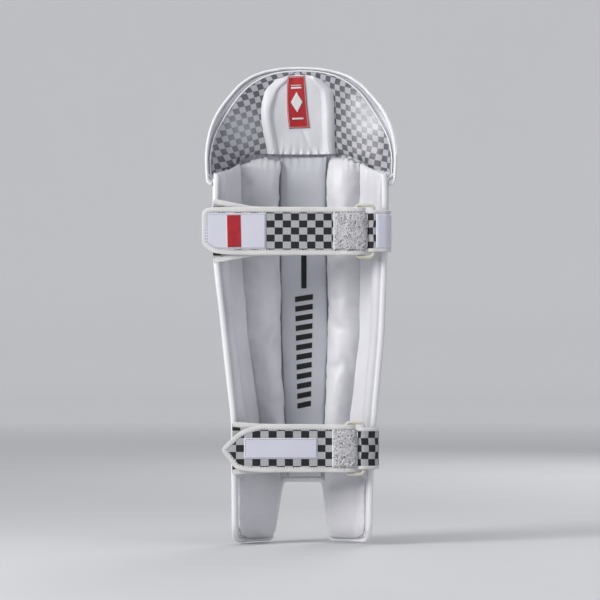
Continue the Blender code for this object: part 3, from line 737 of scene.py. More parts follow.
CHECK_CELL = 0.0086
LOOKS = {
    "cover": synthetic_leather("cover", (0.74, 0.74, 0.775)),
    # A darker, bluer copy of the cover: painted shade, worn by the leg-side lining, the centre pad, the top
    # hat's back and the knee gusset.
    "cover_cool": synthetic_leather("cover_cool", (0.66, 0.67, 0.72), 0.42),
    "face": synthetic_leather("face", (0.80, 0.80, 0.81), 0.36, 1300),
    "piping": synthetic_leather("piping", (0.86, 0.86, 0.88), 0.34, 1800, 0.95),
    "patch": synthetic_leather("patch", (0.70, 0.70, 0.80), 0.46, 2200, 0.95),
    "tape": tape_look("tape", (0.80, 0.79, 0.785)),
    "webbing": webbing_look("webbing", 0.0117, 0.0101),
    "checked_lining": lining_look("checked_lining", CHECK_CELL),
    "ring": plastic_look("ring", (0.68, 0.66, 0.55)),
    "loop": fleece_look("loop", (0.90, 0.885, 0.91)),
    # A darker copy of the loop look for the ground under the loops: painted shade between the loops.
    "loop_bed": fleece_look("loop_bed", (0.56, 0.55, 0.58)),
    "hook": fleece_look("hook", (0.50, 0.50, 0.50), 1600),
    "foam": foam_look("foam", (0.80, 0.77, 0.66)),
    "cane": cane_look("cane"),
    "red_patch": woven_patch_look("red_patch", (0.50, 0.004, 0.014), (0.64, 0.02, 0.035)),
    "thread": thread_look("thread", (0.78, 0.78, 0.78)),
    # Thread drawn dark: painted shade for the holes between pale stitches.
    "dark_thread": thread_look("dark_thread", (0.20, 0.20, 0.22)),
    "print": print_look("print", (0.010, 0.010, 0.012)),
}


def wear(piece, look, body=None, replaces=()):
    """Gives a piece its look, its body, and the CAD nodes it stands for."""
    piece.data.materials.clear()
    piece.data.materials.append(LOOKS[look])
    if body:
        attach(piece, body)
    if replaces:
        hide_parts(*replaces)
    return piece


# ---------------------------------------------------------------- the shin wall

SHIN_TOP_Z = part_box("face_foam")[1].z
shin = Layers(Wall("shin_lining", 0.004, 0.566, True), Wall("face_foam", 0.004, 0.566, False))
hat = Layers(Wall("top_hat_foam", 0.531, 0.69, True), Wall("top_hat_foam", 0.531, 0.69, False))
U = np.linspace(0, 1, COLUMNS)


def rim(node, layers, inside_z, far_z):
    """The height at which a wall ends, above or below inside_z, at each u."""
    tree = tree_of(node)
    heights = []
    for u, z_in in zip(U, np.broadcast_to(inside_z, U.shape)):
        place = layers.at(min(max(u, 0.004), 0.996), z_in, 0.0)
        axis_y = layers.inner.at(0.0, z_in)[1] + 0.001
        way = Vector((place[0], place[1] - axis_y, 0)).normalized()
        near, far = z_in, far_z
        for _ in range(13):
            z = (near + far) / 2
            hit = tree.ray_cast(Vector((0, axis_y, z)), way, 0.3)[0]
            near, far = (z, far) if hit is not None else (near, z)
        heights.append(near)
    return blur(np.array(heights), 1.2, 0)


def follow(values):
    """A function of u from values at the wall's columns."""
    return lambda u: np.interp(u, U, values)


FOOT_CORNER = (0.056, 0.027)
INNER_CORNER = (0.011, 0.0076)
FLOOR_GAP = 0.0036
FLOOR_BAND = 0.012


def foot_corner(u):
    """The height of a foot's rounded outer corner."""
    along, up = FOOT_CORNER
    away = np.clip(1 - np.minimum(u, 1 - u) * SHIN_LONG / along, 0, 1)
    return FLOOR_GAP + up * (1 - np.sqrt(1 - away ** 2))


SHIN_LONG = shin.length(0.3)
arch_low = follow(rim("face_foam", shin, 0.3, 0.0))
ON_FLOOR = U[arch_low(U) < FLOOR_BAND]
FOOT_ENDS = ON_FLOOR[ON_FLOOR < 0.5].max(), ON_FLOOR[ON_FLOOR > 0.5].min()


def inner_corner(u):
    """The height of the small rounded corners on the feet's inner sides."""
    along, up = INNER_CORNER
    away = np.where(u < 0.5, FOOT_ENDS[0] - u, u - FOOT_ENDS[1])
    away = np.clip(1 - np.maximum(away, 0) * SHIN_LONG / along, 0, 1)
    return FLOOR_GAP + up * (1 - np.sqrt(1 - away ** 2))


def shin_low(u):
    u = np.asarray(u, float)
    return np.maximum(arch_low(u), np.maximum(foot_corner(u), inner_corner(u)))


shin_high = follow(rim("face_foam", shin, 0.3, 0.58))
hat_inside = 0.545 + 0.05 * (1 - (2 * U - 1) ** 2)
hat_low = follow(rim("top_hat_foam", hat, hat_inside, 0.51))
hat_high = follow(rim("top_hat_foam", hat, hat_inside, 0.71))
HAT_LONG = hat.length(0.6)


def taper_of(layers, z, thinning):
    """How full the layers are at each u: they thin out to the wing edges, as in the CAD model."""
    x = layers.at(U, z, 1.0)[:, 0]
    share = np.clip(np.where(x < 0, x / x[0], x / x[-1]), 0, 1)
    t = np.arcsin(share ** 1.25) * 2 / math.pi
    return follow(1 - thinning * smooth_step(0.45, 0.85, t))


shin_taper = taper_of(shin, 0.3, 0.5)
hat_taper = taper_of(hat, 0.6, 0.66)


def near_line(s, z, line):
    """The distance from each (s, z) to a polyline in the flattened wall."""
    a, b = line[:-1], line[1:]
    d = b - a
    long = np.maximum((d ** 2).sum(1), 1e-12)
    p = np.stack([s.ravel(), z.ravel()], 1)
    best = np.full(len(p), 1e9)
    for i in range(len(a)):
        t = np.clip(((p - a[i]) @ d[i]) / long[i], 0, 1)
        best = np.minimum(best, np.linalg.norm(p - (a[i] + t[:, None] * d[i]), axis=1))
    return best.reshape(s.shape)


def uneven(count, pull=0.35):
    """Steps from 0 to 1, closer at both ends."""
    q = np.linspace(0, 1, count)
    return (1 - pull) * q + pull * (0.5 - 0.5 * np.cos(math.pi * q))


def wall_grid(columns, rows, low, high, first=0.0, last=1.0, pull=0.35):
    """(u, z) places of a grid between two rims."""
    u = first + (last - first) * uneven(columns, pull)
    v = uneven(rows, pull)
    lo, hi = low(u), high(u)
    return np.broadcast_to(u, (rows, columns)).copy(), lo + (hi - lo) * v[:, None]


def outline(layers_long, low, high):
    """The closed outline of a wall in the flattened (s, z)."""
    u = np.linspace(0, 1, 161)
    points = np.concatenate([np.stack([u * layers_long, low(u)], 1),
                             np.stack([u[::-1] * layers_long, high(u[::-1])], 1)])
    return np.concatenate([points, points[:1]])


def fullness(distance, reach):
    """0 at a sewn edge, rising like a quarter circle to 1."""
    return np.sqrt(np.clip(1 - (1 - np.clip(distance / reach, 0, 1)) ** 2, 0, 1))


def grid_normals(points):
    return unit(np.cross(np.gradient(points, axis=1), np.gradient(points, axis=0)))


def sheet(name, points, thickness, uv=None, back=1):
    """A closed sheet of cloth; its second side lies on the leg side for back = 1."""
    return pillow(name, points, points + grid_normals(points) * thickness * back, uv)


def flat_uv(layers_long, u, z):
    return np.stack([(u - 0.5) * layers_long, z], -1)


shin_line = outline(SHIN_LONG, shin_low, shin_high)
hat_line = outline(HAT_LONG, hat_low, hat_high)


# ---------------------------------------------------------------- the face and its flutes

FLUTE_RISE = 0.0088
FLUTE_FADE = (0.112, 0.134, 0.416, 0.438)
COVER_THICK = 0.0014


def flute_centres(z):
    """The u of each cane at a height, on the face."""
    xs = []
    for number in range(1, 8):
        low, high = outline_of(f"cane_{number}", [z])
        xs.append((low[0] + high[0]) / 2)
    return shin.u_at(xs, z, 1.0)


flute_z = np.linspace(0.135, 0.415, 15)
flute_fit = np.polyfit(flute_z, np.array([flute_centres(z) for z in flute_z]), 2)
flute_table = flute_z[:, None] ** 2 * flute_fit[0] + flute_z[:, None] * flute_fit[1] + flute_fit[2]


def flute_edges(z):
    """The eight seams beside the seven canes at each height: the outer two, and one between each pair."""
    centres = np.stack([np.interp(z, flute_z, flute_table[:, i]) for i in range(7)], -1)
    between = (centres[..., 1:] + centres[..., :-1]) / 2
    first = centres[..., :1] - (between[..., :1] - centres[..., :1])
    last = centres[..., -1:] + (centres[..., -1:] - between[..., -1:])
    return np.concatenate([first, between, last], -1)


def flute_rise(u, z):
    edges = flute_edges(z)
    rise = np.zeros(u.shape)
    for i in range(7):
        q = 2 * (u - edges[..., i]) / (edges[..., i + 1] - edges[..., i]) - 1
        rise += np.where(abs(q) < 1, (1 - np.minimum(abs(q), 1) ** 2.4) ** 0.62, 0)
    a, b, c, d = FLUTE_FADE
    fade = fullness(z - a, b - a) * fullness(d - z, d - c)
    return FLUTE_RISE * rise * fade * (z > a) * (z < d)


def foot_tuck(z):
    """The feet round in towards the floor."""
    return 0.004 * (1 - fullness(z, 0.014))


def shin_face():
    u, z = wall_grid(281, 181, shin_low, shin_high)
    full = fullness(near_line(u * SHIN_LONG, z, shin_line), 0.007)
    out = 0.0038 * shin_taper(u) * full + flute_rise(u, z) - foot_tuck(z)
    out += 0.0004 * waves(u * SHIN_LONG, z, 3, 0.05) * full
    valley = np.min(abs(u[..., None] - flute_edges(z)), -1) * SHIN_LONG
    inside = (z > FLUTE_FADE[0]) & (z < FLUTE_FADE[3])
    out -= np.where(inside, 0.0012 * np.exp(-(valley / 0.0012) ** 2), 0)
    out += np.where(inside, 0.00025 * np.exp(-(valley / 0.004) ** 2) * np.sin(2 * math.pi * z / 0.0072), 0)
    points = shin.at(u, z, full, out)
    wear(sheet("shin_face", points, COVER_THICK, flat_uv(SHIN_LONG, u, z)), "face", "pad",
         ("face_cover",))
    u, z = wall_grid(121, 91, lambda a: shin_low(a) + 0.001, lambda a: shin_high(a) - 0.001, 0.004, 0.996)
    full = fullness(near_line(u * SHIN_LONG, z, shin_line), 0.007)
    core = pillow("shin_core", shin.at(u, z, 0.8 * full, -foot_tuck(z)),
                  shin.at(u, z, -0.7 * full, -foot_tuck(z)))
    wear(core, "foam", "pad", ("face_foam",))


def shin_stitches():
    rows = np.linspace(FLUTE_FADE[0] + 0.004, FLUTE_FADE[3] - 0.004, 90)
    edges = flute_edges(rows)
    for i in range(8):
        u = edges[:, i]
        path = shin.at(u, rows, 1.0, 0.0038 * shin_taper(u) - 0.0006)
        normals = unit(path - shin.at(u, rows, 0.0))
        wear(stitches(f"channel_stitches_{i + 1}", path, normals, length=0.0032, radius=0.0005),
             "thread", "pad")


def shin_lining():
    u, z = wall_grid(181, 121, shin_low, shin_high)
    full = fullness(near_line(u * SHIN_LONG, z, shin_line), 0.006)
    out = -0.0004 * waves(u * SHIN_LONG, z, 5, 0.06) * full
    points = shin.at(u, z, -full, out - foot_tuck(z) * (1 - full))
    # The lining wears the darker, bluer copy of the cover: painted shade.
    wear(sheet("shin_lining_sheet", points, 0.001, flat_uv(SHIN_LONG, u, z), -1), "cover_cool", "pad",
         ("shin_lining",))


# ---------------------------------------------------------------- cushions on the leg side

def leg_tree(u, z, rise):
    """A search tree over a patch of the leg side."""
    points = shin.leg(u, z, rise)
    rows, cols = u.shape
    faces = [tuple(map(int, f)) for f in grid_faces(rows, cols)]
    return BVHTree.FromPolygons([Vector(p) for p in points.reshape(-1, 3)], faces)


def height_over(tree, co):
    return np.array([tree.find_nearest(Vector(p))[3] for p in co])


def crown(q, power):
    return np.sqrt(np.clip(1 - abs(2 * q - 1) ** power, 0, 1))


def edges_of(node, heights, inset=0.0):
    """The u of a cushion's two side seams at each height."""
    low, high = outline_of(node, heights)
    return shin.u_at(low + inset, heights), shin.u_at(high - inset, heights)


seam_x = shin.at(U, 0.552, -1.0)[:, 0]
seam_z = blur(hat_low(hat.u_at(np.clip(seam_x, -0.131, 0.131), 0.56)), 2, 0)
seam_under = follow(seam_z)


def seam_over(u):
    """The height at which the cushions end, under the top hat's seam."""
    return seam_under(u) - 0.0030


def to_seam(u, z, high):
    """Cushion places with their top part drawn up to the seam."""
    return z + smooth_step(0.40, high, z) * np.maximum(seam_over(u) - high, 0)


def cushion_places(node, columns, rows, inset, low=None, high=None, pull=0.6):
    box_low, box_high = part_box(node)
    low = box_low.z + inset if low is None else low
    high = box_high.z - inset if high is None else high
    z = low + (high - low) * uneven(rows, pull)
    first, last = edges_of(node, z, inset)
    q = uneven(columns, pull)
    u = first[:, None] + (last - first)[:, None] * q
    return u, np.broadcast_to(z[:, None], u.shape).copy(), q[None, :], uneven(rows, pull)[:, None]


def pucker_ends(piece, low, high, strength, pitch, seed):
    """Small gathers where a cushion's ends are sewn down."""
    co = coordinates(piece)
    normals = vertex_normals(piece)
    draw = np.random.default_rng(seed)
    shift = 0.0
    for _ in range(3):
        wave = pitch * draw.uniform(0.7, 1.4)
        shift = shift + np.sin(2 * math.pi * co[:, 0] / wave + draw.uniform(0, 6.28))
    near_top = np.exp(-np.clip(high(co[:, 0]) - co[:, 2], 0, 1) / 0.011)
    near_low = np.exp(-np.clip(co[:, 2] - low, 0, 1) / 0.009)
    amount = strength * (near_top + 0.5 * near_low) * shift / 1.7
    set_coordinates(piece, co + normals * amount[:, None])


def pucker_sides(piece, tree, strength, pitch, seed):
    """Small gathers along a cushion's side seams."""
    co = coordinates(piece)
    normals = vertex_normals(piece)
    draw = np.random.default_rng(seed)
    wave = sum(np.sin(2 * math.pi * co[:, 2] / (pitch * draw.uniform(0.6, 1.7)) + draw.uniform(0, 6.28))
               for _ in range(4))
    low = np.exp(-np.clip(height_over(tree, co) - 0.002, 0, 1) / 0.006)
    set_coordinates(piece, co + normals * (strength * wave / 2 * low)[:, None])


def bolster(side, seed):
    node = f"{side}_bolster_cover"
    box_low, box_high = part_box(node)
    u, z, q, v = cushion_places(node, 25, 74, 0.0010, low=box_low.z + 0.009)
    z = to_seam(u, z, z.max())
    rise = (0.0025 + 0.0205 * crown(q, 3.0) * crown(v, 18)) * shin_taper(u)
    piece = pillow(f"{side}_bolster", shin.leg(u, z, rise), shin.leg(u, z, 0.0009))
    tree = leg_tree(u, z, 0.0009)
    inflate(piece, lambda co: 1 - smooth_step(0.002, 0.005, height_over(tree, co)), cap=0.0035)
    co = coordinates(piece)
    swell = 0.0006 * waves(co[:, 0] * 2.5, co[:, 2], seed, 0.12)
    set_coordinates(piece, co + vertex_normals(piece) * swell[:, None])
    seam_u = shin.u_at(np.linspace(box_low.x, box_high.x, 30), 0.545)
    pucker_ends(piece, box_low.z,
                lambda x: np.interp(x, np.linspace(box_low.x, box_high.x, 30), seam_over(seam_u)),
                0.0012, 0.0075, seed)
    pucker_sides(piece, tree, 0.0005, 0.014, seed + 1)
    wear(piece, "cover", "pad", (node, f"{side}_bolster_foam"))


def centre_pad():
    u, z, q, v = cushion_places("centre_shin_pad", 61, 160, 0.0)
    u = u + (q - 0.5) * 2 * 0.0035 / SHIN_LONG
    z = to_seam(u, z, z.max())
    rise = 0.0012 + 0.0075 * (0.25 + 0.75 * crown(q, 5.0) * crown(v, 12))
    rise = rise + 0.00035 * waves(u * SHIN_LONG, z, 11, 0.07)
    top = np.exp(-np.clip(seam_over(u) - z, 0, 1) / 0.012)
    rise = rise + 0.0011 * ruffle(u, SHIN_LONG, 0.011, 12) * top
    piece = pillow("centre_pad", shin.leg(u, z, np.maximum(rise, 0.0009)), shin.leg(u, z, 0.0007))
    # The centre pad wears the darker, bluer copy of the cover: painted shade in the recess.
    wear(piece, "cover_cool", "pad", ("centre_shin_pad",))


def on_centre(x, z, lift):
    """A point on the centre pad's face, lift above it."""
    x, z = np.broadcast_arrays(np.asarray(x, float), np.asarray(z, float))
    u = shin.u_at(x, z)
    return shin.leg(u, z, 0.0012 + 0.0075 + 0.00035 * waves(u * SHIN_LONG, z, 11, 0.07) + lift)


def printed_bar(name, corners, columns, rows):
    """A thin printed shape between four (x, z) corners: low left, low right, high right, high left."""
    a, b, c, d = (np.array(p) for p in corners)
    s, t = np.linspace(0, 1, columns)[None, :, None], np.linspace(0, 1, rows)[:, None, None]
    flat = (a * (1 - s) + b * s) * (1 - t) + (d * (1 - s) + c * s) * t
    front = on_centre(flat[..., 0], flat[..., 1], 0.00045)
    back = on_centre(flat[..., 0], flat[..., 1], -0.0002)
    return wear(pillow(name, front, back), "print", "pad")


def centre_print():
    """A plain stripe and a ladder of slanted bars, in place of the maker's graphic."""
    printed_bar("centre_stripe", ((0.0005, 0.372), (0.0089, 0.372), (0.0089, 0.440), (0.0005, 0.440)), 5, 30)
    count = 12
    for number in range(count):
        z = 0.358 - number * 0.0142
        half = 0.0140 - 0.0003 * number
        printed_bar(f"centre_bar_{number + 1}",
                    ((0.0047 - half, z - 0.0062), (0.0047 + half, z - 0.0022),
                     (0.0047 + half, z + 0.0058), (0.0047 - half, z + 0.0018)), 11, 5)


def wing_pad(side):
    """From the bolster to the wing's piping: a fuller outer lobe and a slack inner one."""
    node = f"{side}_wing_pad"
    low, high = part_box(node)[0].z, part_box(node)[1].z
    z = low + (high - low) * uneven(150, 0.5)
    bolster_low, bolster_high = edges_of(f"{side}_bolster_cover", z)
    q = uneven(57, 0.4)
    v = uneven(150, 0.5)[:, None]
    inner = bolster_low + 0.010 if side == "left" else bolster_high - 0.010
    outer = np.full(len(z), 0.021 if side == "left" else 0.979)
    u = inner[:, None] + (outer - inner)[:, None] * q
    zz = to_seam(u, np.broadcast_to(z[:, None], u.shape), high)
    crease = 0.48 + 0.03 * np.sin(9 * zz * 3)
    outer_lobe = fullness(np.clip(q - crease, 0, 1), 0.20) * fullness(1 - q, 0.26)
    inner_lobe = fullness(np.clip(q + 0.06, 0, 1), 0.12) * fullness(np.clip(crease - q, 0, 1), 0.22)
    rise = 0.0020 + 0.0138 * outer_lobe + 0.0074 * inner_lobe
    rise = rise * (0.35 + 0.65 * crown(v, 14))
    fold = np.exp(-((zz - 0.25) / 0.05) ** 2) * np.sin(2 * math.pi * (zz + 0.15 * q) / 0.012)
    rise = rise + 0.00035 * fold * q + 0.0004 * waves(u * SHIN_LONG, zz, 21 if side == "left" else 22, 0.05)
    top = np.exp(-np.clip(seam_over(u) - zz, 0, 1) / 0.010)
    rise = rise + 0.0009 * ruffle(u, SHIN_LONG, 0.010, 23) * top
    rise = np.maximum(rise * shin_taper(u) ** 0.3, 0.0010)
    piece = pillow(f"{side}_wing_cushion", shin.leg(u, zz, rise), shin.leg(u, zz, 0.0007))
    wear(piece, "cover", "pad", (node,))


def arch_u(side, z):
    """The u of the arch's side at a height."""
    low = arch_low(U)
    near = U < 0.5 if side == "left" else U > 0.5
    inside = [U[near & (low <= max(a, FLOOR_BAND))] for a in z]
    return np.array([a.max() if side == "left" else a.min() for a in inside])


def foot_pad(side, seed):
    node = f"{side}_foot_pad"
    u, z, q, v = cushion_places(node, 25, 36, 0.0005, high=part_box(node)[1].z + 0.017)
    arch = arch_u(side, np.minimum(z[:, 0], 0.080))
    sign = 1 if side == "left" else -1
    rows = z[:, 0] - z[0, 0]
    along, up = FOOT_CORNER
    cut = along * (1 - np.sqrt(1 - np.clip(1 - (z[:, 0] - FLOOR_GAP - 0.003) / up, 0, 1) ** 2)) + 0.0085
    inner_cut = 0.006 - np.sqrt(0.006 ** 2 - np.clip(0.006 - rows, 0, 0.006) ** 2)
    end = 0.0 if side == "left" else 1.0
    outer = end + sign * np.maximum(cut, 0.0105) / SHIN_LONG
    inner = arch - sign * (0.0004 + inner_cut) / SHIN_LONG
    first, last = (outer, inner) if side == "left" else (inner, outer)
    u = first[:, None] + (last - first)[:, None] * q
    rise = (0.0022 + 0.0150 * crown(q, 2.2) * crown(v, 3.4)) * shin_taper(u) ** 0.4
    piece = pillow(f"{side}_foot_cushion", shin.leg(u, z, rise), shin.leg(u, z, 0.0009))
    tree = leg_tree(u, z, 0.0009)
    inflate(piece, lambda co: 1 - smooth_step(0.002, 0.005, height_over(tree, co)), cap=0.0035, voxel=0.004)
    pucker_sides(piece, tree, 0.0003, 0.016, seed)
    wear(piece, "cover", "pad", (node,))


def knee_roll(place, seed):
    """A padded roll across the front, sewn down along its two long edges."""
    node = f"knee_roll_{place}"
    box_low, box_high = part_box(node)
    inset = 0.0012
    z = box_low.z + inset + (box_high.z - box_low.z - 2 * inset) * uneven(17, 0.6)
    first, last = (shin.u_at([box_low.x + inset] * len(z), z, 1.0),
                   shin.u_at([box_high.x - inset] * len(z), z, 1.0))
    q = uneven(70, 0.5)
    u = first[:, None] + (last - first)[:, None] * q
    zz = np.broadcast_to(z[:, None], u.shape)
    base = 0.0042 * shin_taper(u)
    rise = 0.002 + 0.0125 * crown(uneven(17, 0.6)[:, None], 2.4) * crown(q, 12)
    piece = pillow(f"knee_roll_{place}_cushion", shin.at(u, zz, 1.0, base + rise), shin.at(u, zz, 1.0, base))
    points = shin.at(u, zz, 1.0, base)
    tree = BVHTree.FromPolygons([Vector(p) for p in points.reshape(-1, 3)],
                                [tuple(map(int, f)) for f in grid_faces(*u.shape)])
    inflate(piece, lambda co: 1 - smooth_step(0.002, 0.004, height_over(tree, co)), cap=0.003)
    co = coordinates(piece)
    draw = np.random.default_rng(seed)
    middle = (box_low.z + box_high.z) / 2
    edge = np.exp(-np.clip(box_high.z - middle - abs(co[:, 2] - middle), 0, 1) / 0.006)
    wave = sum(np.sin(2 * math.pi * co[:, 0] / draw.uniform(0.009, 0.02) + draw.uniform(0, 6.28))
               for _ in range(4))
    set_coordinates(piece, co + vertex_normals(piece) * (0.00055 * edge * wave / 2)[:, None])
    wear(piece, "face", "pad", (node,))


# ---------------------------------------------------------------- edges of the shin part

def edge_line(side, inset):
    """The (s, z) line down a wing edge, round the foot's outer corner and on to the arch."""
    along, up = FOOT_CORNER
    turn = np.radians(np.linspace(0, 90, 25))
    corner = np.stack([along - (along - inset) * np.cos(turn),
                       FLOOR_GAP + up - (up - inset) * np.sin(turn)], 1)
    end = foot_inner(side) * SHIN_LONG if side == "left" else (1 - foot_inner(side)) * SHIN_LONG
    floor = FLOOR_GAP + inset
    line = np.concatenate([[(inset, SHIN_TOP_Z - 0.023)], corner,
                           [(end - 0.010, floor), (end - 0.0045, floor + 0.0012),
                            (end - 0.0015, floor + 0.0042)]])
    return resample(blur(resample(line, 700), 3, 0), 420)


def on_edge(side, line, w=0.0, out=0.0):
    u = line[:, 0] / SHIN_LONG
    return shin.at(u if side == "left" else 1 - u, line[:, 1], w, out)


def wing_edge(side):
    """Binding down the wing edge and round the foot, and the piping beside it."""
    line = edge_line(side, 0.0006)
    inner = edge_line(side, 0.0030)
    path = on_edge(side, line)
    path[:, 1] -= 0.0022 * smooth_step(0.012, 0.040, line[:, 1])
    away = unit(path - on_edge(side, inner))
    away = unit(blur(away, 5, 0))
    corner = int(np.argmax(line[:, 0] > FOOT_CORNER[0] * 0.9))
    profile = oval(0.0080, 0.0066, 16, 2.4)
    low = np.repeat(profile[None], len(path) - corner + 2, 0)
    low[..., 1] *= 0.72
    wear(sweep(f"{side}_wing_binding", path[:corner], away[:corner], profile),
         "piping", "pad", (f"{side}_edge_binding",))
    wear(sweep(f"{side}_foot_tape", path[corner - 2:], away[corner - 2:], low),
         "piping", "pad", (f"{side}_foot_binding",))
    for number, inset in enumerate((0.0092, 0.0066)):
        line = edge_line(side, inset)
        run = on_edge(side, line, -1.0, -0.0012 if number == 0 else -0.0004)
        wear(tube(f"{side}_wing_piping_{number + 1}", run, PIPING * (0.8 if number == 0 else 0.55)),
             "piping", "pad")
    line = edge_line(side, 0.0040)
    run = on_edge(side, line, -1.0, -0.0010)
    up = unit(on_edge(side, line, -1.0) - on_edge(side, line, 1.0))
    wear(stitches(f"{side}_wing_stitches", run, up), "thread", "pad")


def foot_inner(side):
    """The u of a foot's inner corner at the floor."""
    low = shin_low(U)
    on_floor = U[low < FLOOR_BAND]
    return on_floor[on_floor < 0.5].max() if side == "left" else on_floor[on_floor > 0.5].min()


def instep():
    """Binding round the arch between the feet."""
    first, last = foot_inner("left"), foot_inner("right")
    u = np.linspace(first + 0.004, last - 0.004, 240)
    z = shin_low(u)
    path = shin.at(u, np.maximum(z, 0.006), 0.0)
    path[:, 2] = np.maximum(z, 0.006)
    path = resample(path, 220)
    path = blur(path, 3, 0)
    ahead = unit(np.gradient(path, axis=0))
    out = unit(shin.at(0.5, 0.1, 1.0) - shin.at(0.5, 0.1, -1.0))
    down = unit(np.cross(ahead, np.tile(out, (len(path), 1))))
    down = np.where((down[:, 2:] > 0), -down, down)
    path = path - down * 0.0018
    wear(sweep("instep_tape", path, down, oval(0.0160, 0.0088, 18, 3.0)),
         "piping", "pad", ("instep_binding",))


# ---------------------------------------------------------------- the top hat

def hat_edge_path(inset, count=360):
    """The dome and wing edges of the top hat, this far inside its outline."""
    u = np.linspace(0, 1, 1601)
    top = np.stack([u * HAT_LONG, hat_high(u)], 1)
    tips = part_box("top_hat_foam")[0].z + 0.003
    left = np.stack([np.zeros(20), np.linspace(tips, top[0, 1], 20, endpoint=False)], 1)
    right = np.stack([np.full(20, HAT_LONG), np.linspace(top[-1, 1], tips, 21)[1:]], 1)
    line = resample(np.concatenate([left, top, right]), 900)
    line = blur(line, 6, 0)
    ahead = unit(np.gradient(line, axis=0))
    inward = np.stack([ahead[:, 1], -ahead[:, 0]], 1)
    amount = inset(line[:, 0] / HAT_LONG) if callable(inset) else inset
    line = line + inward * np.broadcast_to(amount, len(line))[:, None]
    line = resample(line, count)
    return line[:, 0] / HAT_LONG, line[:, 1]


def panel_inset(u):
    """The plain margin between the binding and the checked panels: wide at the sides, thin on top."""
    return 0.0022 + 0.0072 * smooth_step(0.10, 0.42, abs(2 * u - 1) * 0.5)


def hat_shell():
    u, z = wall_grid(221, 121, hat_low, hat_high, pull=0.5)
    full = fullness(near_line(u * HAT_LONG, z, hat_line), 0.010)
    out = 0.0020 * hat_taper(u) * full + 0.0005 * waves(u * HAT_LONG, z, 31, 0.06) * full
    crease = (np.exp(-((abs(u - 0.5) * HAT_LONG - 0.068) / 0.0016) ** 2)
              + np.exp(-((z - 0.612) / 0.0016) ** 2) * (abs(u - 0.5) * HAT_LONG < 0.068))
    out = out - 0.0016 * crease * full
    wear(sheet("top_hat_front", hat.at(u, z, full, out), COVER_THICK, flat_uv(HAT_LONG, u, z)),
         "face", "top_hat", ("top_hat_face",))
    back = hat.at(u, z, -full, -0.0004 * full)
    # The top hat's back wears the darker, bluer copy of the cover: painted shade.
    wear(sheet("top_hat_back", back, 0.0009, flat_uv(HAT_LONG, u, z), -1), "cover_cool", "top_hat")
    u, z = wall_grid(101, 61, lambda a: hat_low(a) + 0.0015, lambda a: hat_high(a) - 0.0015, 0.006, 0.994)
    full = fullness(near_line(u * HAT_LONG, z, hat_line), 0.010)
    core = pillow("top_hat_core", hat.at(u, z, 0.8 * full), hat.at(u, z, -0.8 * full))
    wear(core, "foam", "top_hat", ("top_hat_foam",))


def hat_panel_top():
    u, z = hat_edge_path(panel_inset)
    order = slice(int(len(u) * 0.02), int(len(u) * 0.98))
    u, z = u[order], z[order]
    keep = np.concatenate([[True], np.diff(np.maximum.accumulate(u)) > 0])
    return u[keep], z[keep]


def panel_uv(side, u, z):
    """Pattern coordinates in metres; the print leans on the left and runs upright on the right."""
    x = hat.at(U, 0.6, -1.0)[:, 0]
    run = np.maximum(np.gradient(x, U) / HAT_LONG, 0.55)
    flat = np.concatenate([[0], np.cumsum((run[1:] + run[:-1]) / 2 * np.diff(U))]) * HAT_LONG
    across = np.interp(u, U, flat) - np.interp(0.5, U, flat)
    if side == "left":
        turn = math.radians(17)
        return np.stack([across * math.cos(turn) + z * math.sin(turn),
                         -across * math.sin(turn) + z * math.cos(turn)], -1)
    return np.stack([across * 1.12, z + 0.29 * across], -1)


def ruffle(u, long, pitch, seed):
    """Uneven gathers along a seam, -1 to 1."""
    draw = np.random.default_rng(seed)
    total = 0.0
    for _ in range(4):
        total = total + np.sin(2 * math.pi * u * long / (pitch * draw.uniform(0.7, 1.6))
                               + draw.uniform(0, 6.28))
    return total / 2.6


def hat_panel(side, node, seed):
    """A checked lining panel from the wing edge over to the middle of the dome."""
    top_u, top_z = hat_panel_top()
    middle = 0.5
    edge = 0.012 / HAT_LONG
    first, last = (edge, middle) if side == "left" else (middle, 1 - edge)
    u, z = wall_grid(111, 81, lambda a: hat_low(a) + 0.0008, lambda a: np.interp(a, top_u, top_z),
                     first, last, 0.3)
    from_edge = np.minimum(near_line(u * HAT_LONG, z, np.stack([top_u * HAT_LONG, top_z], 1)),
                           np.minimum(u, 1 - u) * HAT_LONG - 0.010)
    from_seam = z - hat_low(u)
    full = fullness(np.clip(from_edge, 0, 1), 0.014) * (0.35 + 0.65 * fullness(from_seam, 0.016))
    rise = 0.0014 + 0.0042 * hat_taper(u) * full + 0.0006 * waves(u * HAT_LONG, z, seed, 0.05) * full
    rise += 0.0012 * ruffle(u, HAT_LONG, 0.0085, seed) * np.exp(-from_seam / 0.008)
    front = hat.at(u, z, -1.0, -rise)
    wear(pillow(f"top_hat_{side}_panel", front, hat.at(u, z, -1.0, -0.0009), panel_uv(side, u, z)),
         "checked_lining", "top_hat", (node,))


CENTRE_TOP = 0.6855
CENTRE_BASE = 0.0062


def centre_edges(z):
    """The x of the plain centre panel's two sides, which bow outwards."""
    up = np.clip((z - 0.566) / (CENTRE_TOP - 0.566), 0, 1)
    left = -0.0500 - 0.0110 * np.sin(math.pi * up ** 1.2) + 0.014 * smooth_step(0.80, 1.0, up)
    right = 0.0520 - 0.002 * up - 0.020 * smooth_step(0.78, 1.0, up)
    return left, right


